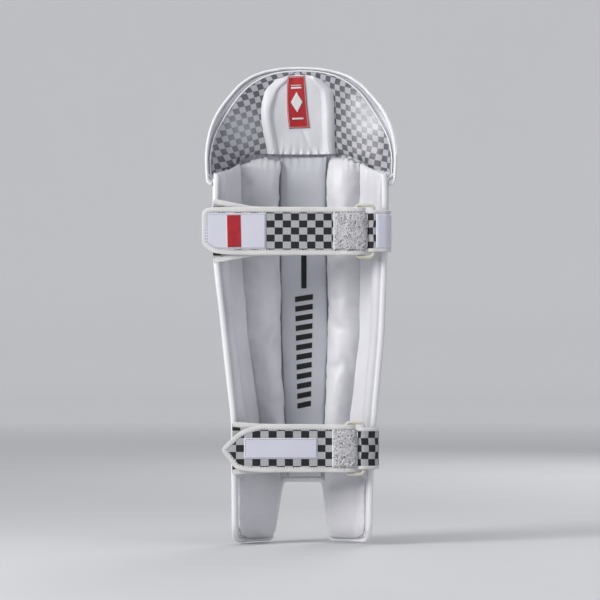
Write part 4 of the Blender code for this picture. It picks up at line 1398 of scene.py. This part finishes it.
def centre_rise(x, z):
    """The centre panel's padding: flat in the middle, with a soft roll down each side."""
    left, right = centre_edges(z)
    near_left, near_right = x - left, right - x
    rise = CENTRE_BASE * fullness(np.minimum(near_left, near_right), 0.004)
    for near, wide in ((near_left, 0.017), (near_right, 0.019)):
        rise = rise + 0.0042 * np.sin(math.pi * np.clip(near / wide, 0, 1)) ** 1.4
    up = np.clip(CENTRE_TOP + 0.0015 - z, 0, 1)
    rise = rise * (0.25 + 0.75 * fullness(up, 0.010))
    line = (x - 0.004) + (z - 0.60) * 0.45
    rise = rise - 0.0011 * np.exp(-(line / 0.004) ** 2) * smooth_step(0.625, 0.60, z)
    return rise + 0.0005 * waves(x, z, 41, 0.045)


def hat_point(x, z, lift):
    """A point on the centre panel's face."""
    x, z = np.broadcast_arrays(np.asarray(x, float), np.asarray(z, float))
    return hat.at(hat.u_at(x, z), z, -1.0, -(np.maximum(centre_rise(x, z), 0.0012) + 0.0035 + lift))


def hat_centre():
    q = uneven(91, 0.5)
    v = uneven(91, 0.5)[:, None]
    left0, right0 = centre_edges(np.array([0.6]))
    x_mid = left0 + (right0 - left0) * q
    low = hat_low(hat.u_at(x_mid, 0.6))
    arch = CENTRE_TOP - 0.0065 * abs(2 * q - 1) ** 3
    z = low + 0.0008 + (arch - low - 0.0008) * v
    left, right = centre_edges(z)
    x = left + (right - left) * q
    u = hat.u_at(x, z)
    rise = np.maximum(centre_rise(x, z), 0.0012) + 0.0035
    gather = 0.0013 * ruffle(u, HAT_LONG, 0.008, 43) * np.exp(-(z - low) / 0.007)
    front = hat.at(u, z, -1.0, -(rise + gather) * np.where((q > 0) & (q < 1), 1, 0.9))
    wear(pillow("top_hat_centre_panel", front, hat.at(u, z, -1.0, -0.0030)), "cover", "top_hat",
         ("top_hat_centre_lining",))


def hat_edges():
    """The outer binding, the inner piping, and the stitching in the margin between them."""
    u, z = hat_edge_path(-0.0026)
    path = hat.at(np.clip(u, 0.0, 1.0), z, 0.0)
    ends = (u <= 0.001) | (u >= 0.999)
    path[:, 1] -= np.where(ends, 0.0022, 0.0)
    path[:, 2] = z
    path = blur(path, 2, 0)
    turn = np.linspace(0.2, 1, 6)[:, None] * math.pi / 2
    tips = [end + np.concatenate([-np.sign(end[0]) * 0.0072 * (1 - np.cos(turn)), 0 * turn,
                                  -0.0090 * np.sin(turn)], 1)
            for end in (path[0], path[-1])]
    path = np.concatenate([tips[0][::-1], path, tips[1]])
    normals = np.broadcast_to((0.0, -1.0, 0.0), path.shape)
    wear(sweep("top_hat_binding", path, normals, oval(0.0046, 0.0084, 16, 2.3)), "piping", "top_hat",
         ("top_hat_edge_binding",))
    u, z = hat_edge_path(lambda a: panel_inset(a) - 0.0006)
    path = hat.at(u, z, -1.0, -0.0022)
    wear(tube("top_hat_inner_piping", blur(path, 2, 0), 0.0011), "piping", "top_hat")
    u, z = hat_edge_path(lambda a: panel_inset(a) * 0.55)
    line = hat.at(u, z, -0.97, -0.0006)
    normals = unit(hat.at(u, z, -1.0) - hat.at(u, z, 1.0))
    # These stitches are drawn dark: painted shade for the holes between them.
    wear(stitches("top_hat_margin_stitches", line, normals, 0.0047, 0.0032, 0.00045),
         "dark_thread", "top_hat")


def hat_patch():
    """A plain woven patch with a sewn border and a generic pair of bars and a lozenge."""
    centre = np.array((-0.0078, 0.6455))
    lean = math.radians(7.5)
    across = np.array((math.cos(lean), math.sin(lean) * 0.25))
    along = np.array((-math.sin(lean), math.cos(lean)))
    half_wide, half_tall = 0.0162, 0.0385
    a, b = np.meshgrid(np.linspace(-half_wide, half_wide, 21), np.linspace(-half_tall, half_tall, 41))
    flat = centre + a[..., None] * across + b[..., None] * along
    ground = hat_point(flat[..., 0], flat[..., 1], 0.0)

    def terms(a, b):
        a, b = a / half_wide, b / half_tall
        return np.stack([a ** i * b ** j for i in range(4) for j in range(4)], -1)

    fit = np.linalg.lstsq(terms(a, b).reshape(-1, 16), ground.reshape(-1, 3), rcond=None)[0]
    rise = float(np.percentile((terms(a, b) @ fit - ground)[..., 1], 93))

    def place(a, b, lift):
        """A point over the cloth, which lies smooth across the panel's folds."""
        a, b = np.broadcast_arrays(a, b)
        here, step = terms(a, b) @ fit, 0.0002
        out = unit(np.cross(terms(a + step, b) @ fit - here, terms(a, b + step) @ fit - here))
        return here + out * (lift + rise)

    rim = 0.0008
    wide, tall = np.meshgrid(np.linspace(-half_wide - rim, half_wide + rim, 21),
                             np.linspace(-half_tall - rim, half_tall + rim, 41))
    wear(pillow("top_hat_patch_rim", place(wide, tall, 0.0005), place(wide, tall, -0.0004)),
         "thread", "top_hat")
    patch = pillow("top_hat_woven_patch", place(a, b, 0.0010), place(a, b, 0.0003), np.stack([a, b], -1))
    wear(patch, "red_patch", "top_hat", ("top_hat_patch",))
    border = np.array([(-1, -1), (1, -1), (1, 1), (-1, 1), (-1, -1)]) * (half_wide - 0.0016,
                                                                         half_tall - 0.0016)
    line = resample(border, 220)
    path = place(line[:, 0], line[:, 1], 0.0010)
    up = unit(path - place(line[:, 0], line[:, 1], -0.01))
    wear(stitches("top_hat_patch_stitches", path, up, 0.0034, 0.0024, 0.0004), "thread", "top_hat")
    for number, (low, high, wide) in enumerate(((0.020, 0.0225, 0.009), (0.0245, 0.0255, 0.009),
                                                (-0.0255, -0.0230, 0.009))):
        a, b = np.meshgrid(np.linspace(-wide, wide, 9), np.linspace(low, high, 3))
        bar = pillow(f"top_hat_patch_bar_{number + 1}", place(a, b, 0.0016), place(a, b, 0.0008))
        wear(bar, "thread", "top_hat")
    size = 0.0095
    s, t = np.meshgrid(np.linspace(-1, 1, 11), np.linspace(-1, 1, 11))
    a, b = (s - t) / 2 * size, (s + t) / 2 * size * 1.6
    wear(pillow("top_hat_patch_lozenge", place(a, b, 0.0016), place(a, b, 0.0008)), "thread", "top_hat")


def knee_gusset():
    """The gathered fabric between the shin part and the top hat; it gets no body, and its transform is baked
    in.
    """
    u = 0.006 + 0.988 * uneven(521, 0.2)
    rows = 15
    v = np.linspace(0, 1, rows)[:, None]
    low = np.minimum(shin_high(u), hat_low(u)) - 0.010
    high = np.maximum(shin_high(u), hat_low(u)) + 0.009
    z = low + (high - low) * v
    uu = np.broadcast_to(u, z.shape)
    pleat = 0.0011 * ruffle(uu, SHIN_LONG, 0.0075, 51) * np.sin(math.pi * v)
    lower = shin.at(uu, z, -0.86, -pleat)
    upper = hat.at(uu, z, -0.80, -pleat)
    share = smooth_step(0.0, 1.0, v)[..., None]
    front = lower * (1 - share) + upper * share
    lower = shin.at(uu, z, 0.80, pleat)
    upper = hat.at(uu, z, 0.80, pleat)
    back = lower * (1 - share) + upper * share
    piece = pillow("knee_gusset", front, back)
    # The gusset wears the darker, bluer copy of the cover: painted shade in the knee's crease.
    wear(piece, "cover_cool", None, ("knee_hinge_gather",))
    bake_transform(piece)


# ---------------------------------------------------------------- straps

TAPE_WIDE = 0.0078
TAPE_THICK = 0.0034
WEB_HALF = 0.0010


class Strap:
    """A strip of webbing: a path in plan, with s along it, z up, and out off its left-hand side."""

    def __init__(self, path, low, high):
        path = np.asarray(path, float)
        length = arc_lengths(path)[-1]
        count = int(length / 0.0006)
        rows = resample(np.concatenate([path, np.stack([low, high], 1)], 1), count)
        self.path, self.low, self.high = blur(rows[:, :2], 3, 0), rows[:, 2], rows[:, 3]
        self.s = arc_lengths(self.path)
        ahead = unit(np.gradient(self.path, axis=0))
        self.left = np.stack([-ahead[:, 1], ahead[:, 0]], 1)

    def at(self, s, z, out):
        s, z, out = np.broadcast_arrays(np.asarray(s, float), np.asarray(z, float), np.asarray(out, float))
        x = np.interp(s, self.s, self.path[:, 0]) + np.interp(s, self.s, self.left[:, 0]) * out
        y = np.interp(s, self.s, self.path[:, 1]) + np.interp(s, self.s, self.left[:, 1]) * out
        return np.stack([x, y, z], -1)

    def side(self, s):
        return np.stack([np.interp(s, self.s, self.left[:, 0]),
                         np.interp(s, self.s, self.left[:, 1]), 0 * s], -1)

    def s_at(self, x, after):
        """The s past a given one at which the strap has this x."""
        later = self.s >= after
        x_later, s_later = self.path[later, 0], self.s[later]
        order = np.argsort(x_later)
        return float(np.interp(x, x_later[order], s_later[order]))


def spans(node, xs):
    """The lowest and highest z at which a CAD strip crosses each x."""
    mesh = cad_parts[node].data
    co = np.array([v.co for v in mesh.vertices])
    ends = co[np.array([e.vertices for e in mesh.edges])]
    a, b = ends[:, 0], ends[:, 1]
    low, high = [], []
    for x in np.clip(xs, co[:, 0].min() + 1e-4, co[:, 0].max() - 1e-4):
        cut = (a[:, 0] - x) * (b[:, 0] - x) <= 0
        run = b[cut, 0] - a[cut, 0]
        t = np.clip((x - a[cut, 0]) / np.where(abs(run) < 1e-9, 1, run), 0, 1)
        z = a[cut, 2] + (b[cut, 2] - a[cut, 2]) * t
        low.append(z.min())
        high.append(z.max())
    return np.array(low), np.array(high)


def strap_of(name):
    """The band from the left wing, the fold round the ring's bar, and the tail laid back over the band."""
    band_low, band_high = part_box(f"{name}_strap_band")
    tail_low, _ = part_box(f"{name}_tail_band")
    ring_low, ring_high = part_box(f"{name}_ring")
    patch_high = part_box(f"{name}_tail_patch")[1]
    rod = (ring_high.y - ring_low.y) / 2
    bar = np.array((ring_low.x + rod, (ring_low.y + ring_high.y) / 2))
    band_y = (band_low.y + band_high.y) / 2
    fold = band_y - bar[1]
    tail_y = patch_high.y + 0.0016
    turn = np.radians(np.linspace(88, -90, 25))
    arc = bar + np.stack([0.0125 * np.cos(turn), fold * np.sin(turn)], 1)
    tail_x = np.concatenate([[bar[0] - 0.034, bar[0] - 0.055], np.linspace(bar[0] - 0.075, tail_low.x, 40)])
    back = np.stack([tail_x, np.full(len(tail_x), tail_y)], 1)
    bend = np.array([(bar[0] - 0.012, bar[1] - fold + 0.0004), (bar[0] - 0.024, tail_y - 0.0012)])
    band_x = np.linspace(band_low.x, bar[0] - 0.006, 40)
    band = np.stack([band_x, np.full(40, band_y)], 1)
    path = np.concatenate([band, arc, bend, back])
    middle = (ring_low.z + ring_high.z) / 2
    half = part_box(f"{name}_tail_band")[1].z - middle
    low_band, high_band = spans(f"{name}_strap_band", band_x)
    low_tail, high_tail = spans(f"{name}_tail_band", tail_x)
    plain = np.ones(len(arc) + len(bend)) * half
    strap = Strap(path, np.concatenate([low_band, middle - plain, low_tail]),
                  np.concatenate([high_band, middle + plain, high_tail]))
    strap.middle, strap.half, strap.bar, strap.fold = middle, half, bar, fold
    before, after = arc_lengths(band)[-1], arc_lengths(np.concatenate([band, arc]))[-1]
    strap.turn_s, strap.back_s = before + 0.0062, after
    strap.blend_from = Vector((0, bar[1] + fold - TAPE_THICK / 2 - 0.0002, 0))
    strap.blend_to = Vector((0, bar[1] - fold + TAPE_THICK / 2 + 0.0002, 0))
    strap.name = name
    return strap


def strap_outline(strap):
    """The (s, z) line along the strap's lower edge, round the tail's end and back along the upper edge."""
    s = strap.s
    lower = np.stack([s, strap.low], 1)
    upper = np.stack([s, strap.high], 1)[::-1]
    line = resample(np.concatenate([lower, upper]), 1600)
    return line


def dress_strap(piece, strap, look, part):
    """The band rides the strap and the tail rides the tail; the fold round the bar gets no body, and its
    transform is baked in.
    """
    if part == "fold":
        wear(piece, look)
        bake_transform(piece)
    else:
        wear(piece, look, f"{strap.name}_{'strap' if part == 'band' else 'tail'}")
    return piece


def parts_of(strap, line):
    """An (s, z) line cut where the strap meets the fold and where it leaves it."""
    kind = np.digitize(line[:, 0], (strap.turn_s, strap.back_s))
    cuts = np.flatnonzero(np.diff(kind)) + 1
    edges = [0, *cuts, len(line)]
    for first, last in zip(edges[:-1], edges[1:]):
        yield ("band", "fold", "tail")[kind[first]], line[first:min(last + 1, len(line))]


def fuzzy(points, amount, seed):
    draw = np.random.default_rng(seed)
    return points + draw.normal(0, amount, points.shape)


def strap_web(strap):
    """The webbing itself, and the tape that binds its edge."""
    ends = {"band": (0, strap.turn_s), "fold": (strap.turn_s, strap.back_s),
            "tail": (strap.back_s, strap.s[-1])}
    for part, (first, last) in ends.items():
        s = np.linspace(first, last, int((last - first) / 0.0012) + 2)
        low, high = np.interp(s, strap.s, strap.low) + 0.002, np.interp(s, strap.s, strap.high) - 0.002
        high = np.maximum(high, low + 0.0004)
        z = low[:, None] + (high - low)[:, None] * np.linspace(0, 1, 41)[None, :]
        ss = np.broadcast_to(s[:, None], z.shape)
        rib = 0.00010 * np.abs(np.sin(math.pi * ss / (0.0117 / 5)))
        uv = np.stack([ss, z - strap.middle + 0.02525], -1)
        web = pillow(f"{strap.name}_{part}_webbing", strap.at(ss, z, WEB_HALF + rib),
                     strap.at(ss, z, -WEB_HALF - rib), uv)
        if part != "fold":
            node = "strap_band" if part == "band" else "tail_band"
            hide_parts(f"{strap.name}_{node}")
        dress_strap(web, strap, "webbing", part)
    line = strap_outline(strap)[2:-2]
    corner = blur(line, 5, 0)
    ahead = unit(np.gradient(corner, axis=0))
    inward = np.stack([-ahead[:, 1], ahead[:, 0]], 1)
    middle = blur(corner + inward * (TAPE_WIDE / 2 - 0.0008), 4, 0)
    middle = resample(middle, int(arc_lengths(middle)[-1] / 0.0011))
    profile = oval(TAPE_WIDE, TAPE_THICK, 18, 3.2)
    for number, (part, run) in enumerate(parts_of(strap, middle)):
        tape = sweep(f"{strap.name}_{part}_tape_{number + 1}", strap.at(run[:, 0], run[:, 1], 0.0),
                     strap.side(run[:, 0]), profile)
        set_coordinates(tape, fuzzy(coordinates(tape), 0.00013, 61))
        dress_strap(tape, strap, "tape", part)
    inner = resample(blur(corner + inward * (TAPE_WIDE - 0.0024), 4, 0), 900)
    lift = TAPE_THICK / 2 - 0.00015
    for number, (part, run) in enumerate(parts_of(strap, inner)):
        # The front row is drawn in the dark thread: painted shade for the holes between its stitches; the
        # back row is pale.
        for side, look in ((1, "dark_thread"), (-1, "thread")):
            face = "front" if side > 0 else "back"
            row = stitches(f"{strap.name}_{part}_stitches_{face}_{number + 1}",
                           strap.at(run[:, 0], run[:, 1], side * lift), strap.side(run[:, 0]) * side,
                           0.0043, 0.0021, 0.00040)
            dress_strap(row, strap, look, part)


def strap_patch(strap, name, look, x_range, z_range, base, thick, replaces=(), tilt=0.0, stitch=None):
    """A flat patch on the tail's outer side, with rounded corners."""
    s0, s1 = (strap.s_at(x, strap.back_s) for x in x_range[::-1])
    z0, z1 = z_range
    a, b = np.meshgrid(np.linspace(0, 1, 41), np.linspace(0, 1, 25))
    s, z = s0 + (s1 - s0) * a, z0 + (z1 - z0) * b
    low = np.interp(s, strap.s, strap.low) + TAPE_WIDE - 0.002
    high = np.interp(s, strap.s, strap.high) - TAPE_WIDE + 0.002
    z = np.clip(z, low, np.maximum(high, low + 0.001))
    turn_s, turn_z = s - (s0 + s1) / 2, z - (z0 + z1) / 2
    s, z = s + tilt * turn_z, z - tilt * turn_s
    edge = np.minimum(np.minimum(a, 1 - a) * (s1 - s0), np.minimum(b, 1 - b) * (z1 - z0))
    lift = base + thick * (0.35 + 0.65 * fullness(edge, 0.0012))
    lift = lift + 0.00012 * waves(s, z, 71, 0.03)
    piece = pillow(name, strap.at(s, z, lift), strap.at(s, z, base - 0.0002), np.stack([-s, z], -1))
    wear(piece, look, f"{strap.name}_tail", replaces)
    if stitch:
        inset = 0.0018
        ring = np.concatenate([np.stack([s[0], z[0]], 1), np.stack([s[:, -1], z[:, -1]], 1),
                               np.stack([s[-1], z[-1]], 1)[::-1], np.stack([s[:, 0], z[:, 0]], 1)[::-1]])
        centre = ring.mean(0)
        half = np.maximum(np.ptp(ring, axis=0) / 2, 1e-6)
        ring = centre + (ring - centre) * (1 - inset / half)
        ring = resample(ring, 400)
        line = strap.at(ring[:, 0], ring[:, 1], base + thick + 0.0001)
        row = stitches(f"{name}_stitches", line, strap.side(ring[:, 0]), 0.0040, 0.0024, 0.00036)
        wear(row, stitch, f"{strap.name}_tail")
    return piece


def loops(name, place, s_range, z_range, count, seed):
    """Boucle pile: many small open loops of yarn standing on a strip; place(s, z, out) gives its points."""
    draw = np.random.default_rng(seed)
    s = draw.uniform(*s_range, count)
    z = draw.uniform(*z_range, count)
    turn = draw.uniform(0, math.pi, count)
    size = draw.uniform(0.0013, 0.0022, count)
    lean = draw.uniform(-0.7, 0.7, count)
    yarn = 0.00056
    around, across = 8, 4
    parts = []
    t = np.linspace(-0.25 * math.pi, 1.25 * math.pi, around)
    p = np.linspace(0, 2 * math.pi, across, endpoint=False)
    faces = []
    for i in range(around - 1):
        for j in range(across):
            k = (j + 1) % across
            faces.append((i * across + j, i * across + k, (i + 1) * across + k, (i + 1) * across + j))
    faces.append(tuple(range(across))[::-1])
    faces.append(tuple(range((around - 1) * across, around * across)))
    for i in range(count):
        ring = size[i] + yarn * np.cos(p)[None, :]
        along = ring * np.cos(t)[:, None]
        up = ring * np.sin(t)[:, None] + size[i] * 0.45
        off = yarn * np.sin(p)[None, :] + lean[i] * up * 0.6 + 0 * along
        ds = along * math.cos(turn[i]) - off * math.sin(turn[i])
        dz = along * math.sin(turn[i]) + off * math.cos(turn[i])
        parts.append((place(s[i] + ds, z[i] + dz, up).reshape(-1, 3), faces))
    return outwards(join_meshes(name, parts))


def strap_fleece(strap, left_x):
    """The looped strip next to the fold, with its bound left edge."""
    s0 = strap.turn_s + (strap.back_s - strap.turn_s) * 0.36
    s1 = strap.s_at(left_x, strap.back_s)
    z0, z1 = strap.middle - strap.half + 0.0072, strap.middle + strap.half - 0.0072
    for part, first, last in (("fold", s0, strap.back_s), ("tail", strap.back_s, s1)):
        a, b = np.meshgrid(np.linspace(0, 1, 40), np.linspace(0, 1, 60))
        s, z = first + (last - first) * a, z0 + (z1 - z0) * b
        edge = np.minimum(np.minimum(s - s0, s1 - s), np.minimum(b, 1 - b) * (z1 - z0))
        lift = 0.0010 + 0.0011 * fullness(edge, 0.002) + 0.0003 * waves(s, z, 81, 0.008)
        bed = pillow(f"{strap.name}_{part}_fleece", strap.at(s, z, lift), strap.at(s, z, 0.0009),
                     np.stack([s, z], -1))
        # The ground under the loops is real; its darker colour is painted shade between the loops.
        dress_strap(bed, strap, "loop_bed", part)
        count = int((last - first) * (z1 - z0) / 2.5e-6)
        ends = (first + (0.001 if part == "fold" else 0.0), last - (0.001 if part == "tail" else 0.0))
        pile = loops(f"{strap.name}_{part}_fleece_loops", lambda ss, zz, out: strap.at(ss, zz, 0.0019 + out),
                     ends, (z0 + 0.001, z1 - 0.001), count, 82)
        dress_strap(pile, strap, "loop", part)
    z = np.linspace(z0 - 0.001, z1 + 0.001, 50)
    path = strap.at(np.full(50, s1), z, 0.0016)
    seam = sweep(f"{strap.name}_fleece_edge", path, strap.side(np.full(50, s1)), oval(0.0026, 0.0022, 12))
    dress_strap(seam, strap, "piping", "tail")


def fastener(node, look, body, side):
    """A hook or loop pad: a thin cushion of pile with rounded corners, in its CAD node's place."""
    low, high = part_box(node)
    a, b = np.meshgrid(np.linspace(-1, 1, 61), np.linspace(-1, 1, 41))
    half = (high - low) / 2
    middle = (high + low) / 2
    x = middle.x + half.x * a
    z = middle.z + half.z * b
    corner = 0.006
    over_x, over_z = (np.maximum(abs(a) * half.x - (half.x - corner), 0),
                      np.maximum(abs(b) * half.z - (half.z - corner), 0))
    pull = np.maximum(np.hypot(over_x, over_z) - corner, 0) / np.maximum(np.hypot(over_x, over_z), 1e-9)
    x = x - np.sign(a) * over_x * pull
    z = z - np.sign(b) * over_z * pull
    edge = np.minimum((1 - abs(a)) * half.x, (1 - abs(b)) * half.z)
    thick = 2 * half.y * (0.5 + 0.5 * fullness(edge, 0.0015)) + 0.0001 * waves(x, z, 91, 0.004)
    y_base = high.y if side < 0 else low.y
    front = np.stack([x, y_base + side * thick, z], -1)
    back = np.stack([x, np.full(x.shape, y_base), z], -1)
    wear(pillow(f"{node}_pile", front, back, np.stack([x, z], -1)), look, body, (node,))


def ring_piece(strap):
    """A moulded rounded loop."""
    node = f"{strap.name}_ring"
    low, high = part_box(node)
    rod = (high.y - low.y) / 2
    corner = 0.0052
    points = []
    inner_low = (low.x + rod + corner, low.z + rod + corner)
    inner_high = (high.x - rod - corner, high.z - rod - corner)
    for first, cx, cz in ((0, inner_high[0], inner_high[1]), (90, inner_low[0], inner_high[1]),
                          (180, inner_low[0], inner_low[1]), (270, inner_high[0], inner_low[1])):
        for angle in np.radians(np.linspace(first, first + 90, 9)):
            points.append((cx + corner * math.cos(angle), (low.y + high.y) / 2,
                           cz + corner * math.sin(angle)))
    loop = np.array(points + points[:1])
    loop = resample(loop, 161)[:-1]
    normals = np.tile((0.0, -1.0, 0.0), (len(loop), 1))
    made = sweep(f"{strap.name}_moulded_ring", loop, normals, oval(2 * rod, 2 * rod, 20, 2.2), closed=True)
    wear(made, "ring", f"{strap.name}_ring", (node,))


def keeper(strap, plain_from):
    """The webbing loop that ties the ring to the right wing, with a plain patch on its outer part."""
    node = f"{strap.name}_strap_keeper"
    low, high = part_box(node)
    ring_low, ring_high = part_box(f"{strap.name}_ring")
    rod = (ring_high.y - ring_low.y) / 2
    bar = np.array((ring_high.x - rod, (ring_low.y + ring_high.y) / 2))
    outside = high.x - 0.0010
    turn = np.radians(np.linspace(290, 110, 19))
    arc = bar + np.stack([0.0078 * np.cos(turn), 0.0048 * np.sin(turn)], 1)
    path = [(outside, high.y - 0.0005), (outside, bar[1] + 0.012), (outside - 0.0022, bar[1] + 0.004),
            (outside - 0.0065, bar[1] - 0.0008)]
    path = np.concatenate([path, arc, [(bar[0] + 0.006, bar[1] + 0.0054)]])
    half = (high.z - low.z) / 2
    middle = (high.z + low.z) / 2
    band = Strap(path, np.full(len(path), middle - half), np.full(len(path), middle + half))
    s = np.linspace(0, band.s[-1], 90)[:, None]
    z = np.linspace(middle - half + 0.001, middle + half - 0.001, 41)[None, :]
    ss, zz = np.broadcast_arrays(s, z)
    wobble = 0.0006 * np.sin(zz * 190) * smooth_step(0.02, 0.04, ss)
    uv = np.stack([ss * 1.15 + 0.0035 + wobble, zz - middle + 0.02525], -1)
    web = pillow(f"{strap.name}_keeper_webbing", band.at(ss, zz, 0.0009), band.at(ss, zz, -0.0009), uv)
    wear(web, "webbing", "pad", (node,))
    for end, z_edge in (("top", middle + half - 0.0016), ("bottom", middle - half + 0.0016)):
        s = np.linspace(0.0005, band.s[-1] - 0.0005, 80)
        path = band.at(s, z_edge, 0.0)
        tape = sweep(f"{strap.name}_keeper_tape_{end}", path, band.side(s), oval(0.0052, 0.0032, 14, 3))
        wear(tape, "tape", "pad")
    if plain_from:
        s_end = band.s[np.argmax(band.path[:, 0] < plain_from)]
        a, b = np.meshgrid(np.linspace(0, 1, 31), np.linspace(0, 1, 31))
        ss = 0.004 + (s_end - 0.004) * a
        zz = middle - half + 0.004 + (2 * half - 0.008) * b
        edge = np.minimum(np.minimum(a, 1 - a) * s_end, np.minimum(b, 1 - b) * 2 * half)
        lift = 0.0009 + 0.0009 * fullness(edge, 0.0012)
        strip = pillow(f"{strap.name}_keeper_patch", band.at(ss, zz, lift), band.at(ss, zz, 0.0007))
        wear(strip, "patch", "pad")
    return band


FLEECE_LEFT = {"upper": 0.0480, "lower": 0.0465}
PLAIN_FROM = {"upper": 0.1080, "lower": None}


def straps():
    for name in ("upper", "lower"):
        strap = strap_of(name)
        strap_web(strap)
        strap_fleece(strap, FLEECE_LEFT[name])
        fastener(f"{name}_strap_loop_pad", "loop", f"{name}_strap", -1)
        fastener(f"{name}_tail_hook_pad", "hook", f"{name}_tail", 1)
        ring_piece(strap)
        keeper(strap, PLAIN_FROM[name])
        low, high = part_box(f"{name}_tail_patch")
        reach = 0.0045 if name == "upper" else 0.0
        # The patch's stitches are drawn dark: painted shade for the holes between them.
        strap_patch(strap, f"{name}_tail_plain_patch", "patch", (low.x - reach, high.x),
                    (low.z, high.z), 0.0011, 0.0009, (f"{name}_tail_patch",), stitch="dark_thread")
        if name == "upper":
            low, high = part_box("upper_tail_label")
            strap_patch(strap, "upper_tail_label_rim", "thread", (low.x - 0.0007, high.x + 0.0007),
                        (low.z - 0.0007, high.z + 0.0007), 0.0018, 0.0005, tilt=0.02)
            strap_patch(strap, "upper_tail_woven_label", "red_patch", (low.x, high.x),
                        (low.z, high.z), 0.0020, 0.0006, ("upper_tail_label",), tilt=0.02)


# ---------------------------------------------------------------- the room

def stage():
    """A round pale floor that curves up into a backdrop; far out it glows a little, to the camera only."""
    profile = resample(np.array([(0.0004, 0.0), (5.4, 0.0), (6.0, 0.05), (6.5, 0.3), (6.8, 0.8),
                                 (6.9, 1.6), (6.9, 4.5)]), 90)
    turn = np.linspace(0, 2 * math.pi, 97)
    grid = np.stack(np.broadcast_arrays(profile[:, :1] * np.cos(turn), profile[:, :1] * np.sin(turn),
                                        profile[:, 1:] - 0.0002), -1)
    floor = new_object("floor", grid.reshape(-1, 3), grid_faces(*grid.shape[:2]))
    look = Look("floor", 0.7)
    look.paint(look.mix(look.noise(3, 3), (0.62, 0.62, 0.63), (0.66, 0.66, 0.67)))
    look.bump(look.noise(300, 3), 0.03, 0.001)
    x, y, _ = look.split(look.place)
    radius = look.math("SQRT", look.math("ADD", look.math("MULTIPLY", x, x), look.math("MULTIPLY", y, y)))
    seen = look.tree.nodes.new("ShaderNodeLightPath").outputs["Is Camera Ray"]
    look.link(look.math("MULTIPLY", look.ramp(radius, 0.9, 4.9, 0.0, 0.33), seen),
              look.shader.inputs["Emission Strength"])
    look.shader.inputs["Emission Color"].default_value = (0.97, 0.98, 1.0, 1)
    floor.data.materials.append(look.material)


def softbox(name, place, target, size, power, colour=(1, 1, 1)):
    lamp = bpy.data.lights.new(name, "AREA")
    lamp.shape = "RECTANGLE"
    lamp.size, lamp.size_y = size
    lamp.energy = power
    lamp.color = colour
    made = bpy.data.objects.new(name, lamp)
    made.location = place
    made.rotation_euler = (Vector(target) - Vector(place)).to_track_quat("-Z", "Y").to_euler()
    bpy.context.scene.collection.objects.link(made)


def light_and_camera():
    softbox("key", (-2.0, -1.35, 1.25), (0, 0, 0.36), (0.8, 1.2), 54, (1.0, 0.99, 0.98))
    softbox("fill", (1.9, -1.3, 0.8), (0, 0, 0.35), (0.8, 1.2), 9, (0.93, 0.95, 1.0))
    softbox("top", (0.0, -0.2, 2.4), (0, 0, 0.3), (1.2, 1.2), 13)
    softbox("back", (1.0, 2.2, 1.4), (0, 0, 0.35), (1.2, 1.2), 17)
    world = bpy.data.worlds.new("room")
    world.use_nodes = True
    world.node_tree.nodes["Background"].inputs["Color"].default_value = (0.80, 0.84, 0.92, 1)
    world.node_tree.nodes["Background"].inputs["Strength"].default_value = 0.35
    bpy.context.scene.world = world
    bpy.context.scene.view_settings.view_transform = "Standard"
    camera = bpy.data.cameras.new("camera")
    camera.lens = 200
    camera.sensor_width = 36
    made = bpy.data.objects.new("camera", camera)
    made.location = (-0.0014, -4.861, 0.355)
    made.rotation_euler = (math.radians(90), 0, 0)
    bpy.context.scene.collection.objects.link(made)
    bpy.context.scene.camera = made


def hidden_parts():
    """The canes stay as the CAD model has them, inside the channels."""
    for number in range(1, 8):
        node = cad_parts[f"cane_{number}"]
        node.data.materials.clear()
        node.data.materials.append(LOOKS["cane"])


def shin_part():
    shin_face()
    shin_stitches()
    shin_lining()
    for seed, side in ((101, "left"), (111, "right")):
        bolster(side, seed)
        wing_pad(side)
        foot_pad(side, seed + 5)
        wing_edge(side)
    centre_pad()
    centre_print()
    for seed, place in enumerate(("lower", "middle", "upper")):
        knee_roll(place, 131 + seed)
    instep()


def top_hat():
    hat_shell()
    hat_panel("left", "top_hat_left_lining", 151)
    hat_panel("right", "top_hat_right_lining", 152)
    hat_centre()
    hat_edges()
    hat_patch()
    knee_gusset()


shin_part()
top_hat()
straps()
hidden_parts()
stage()
light_and_camera()
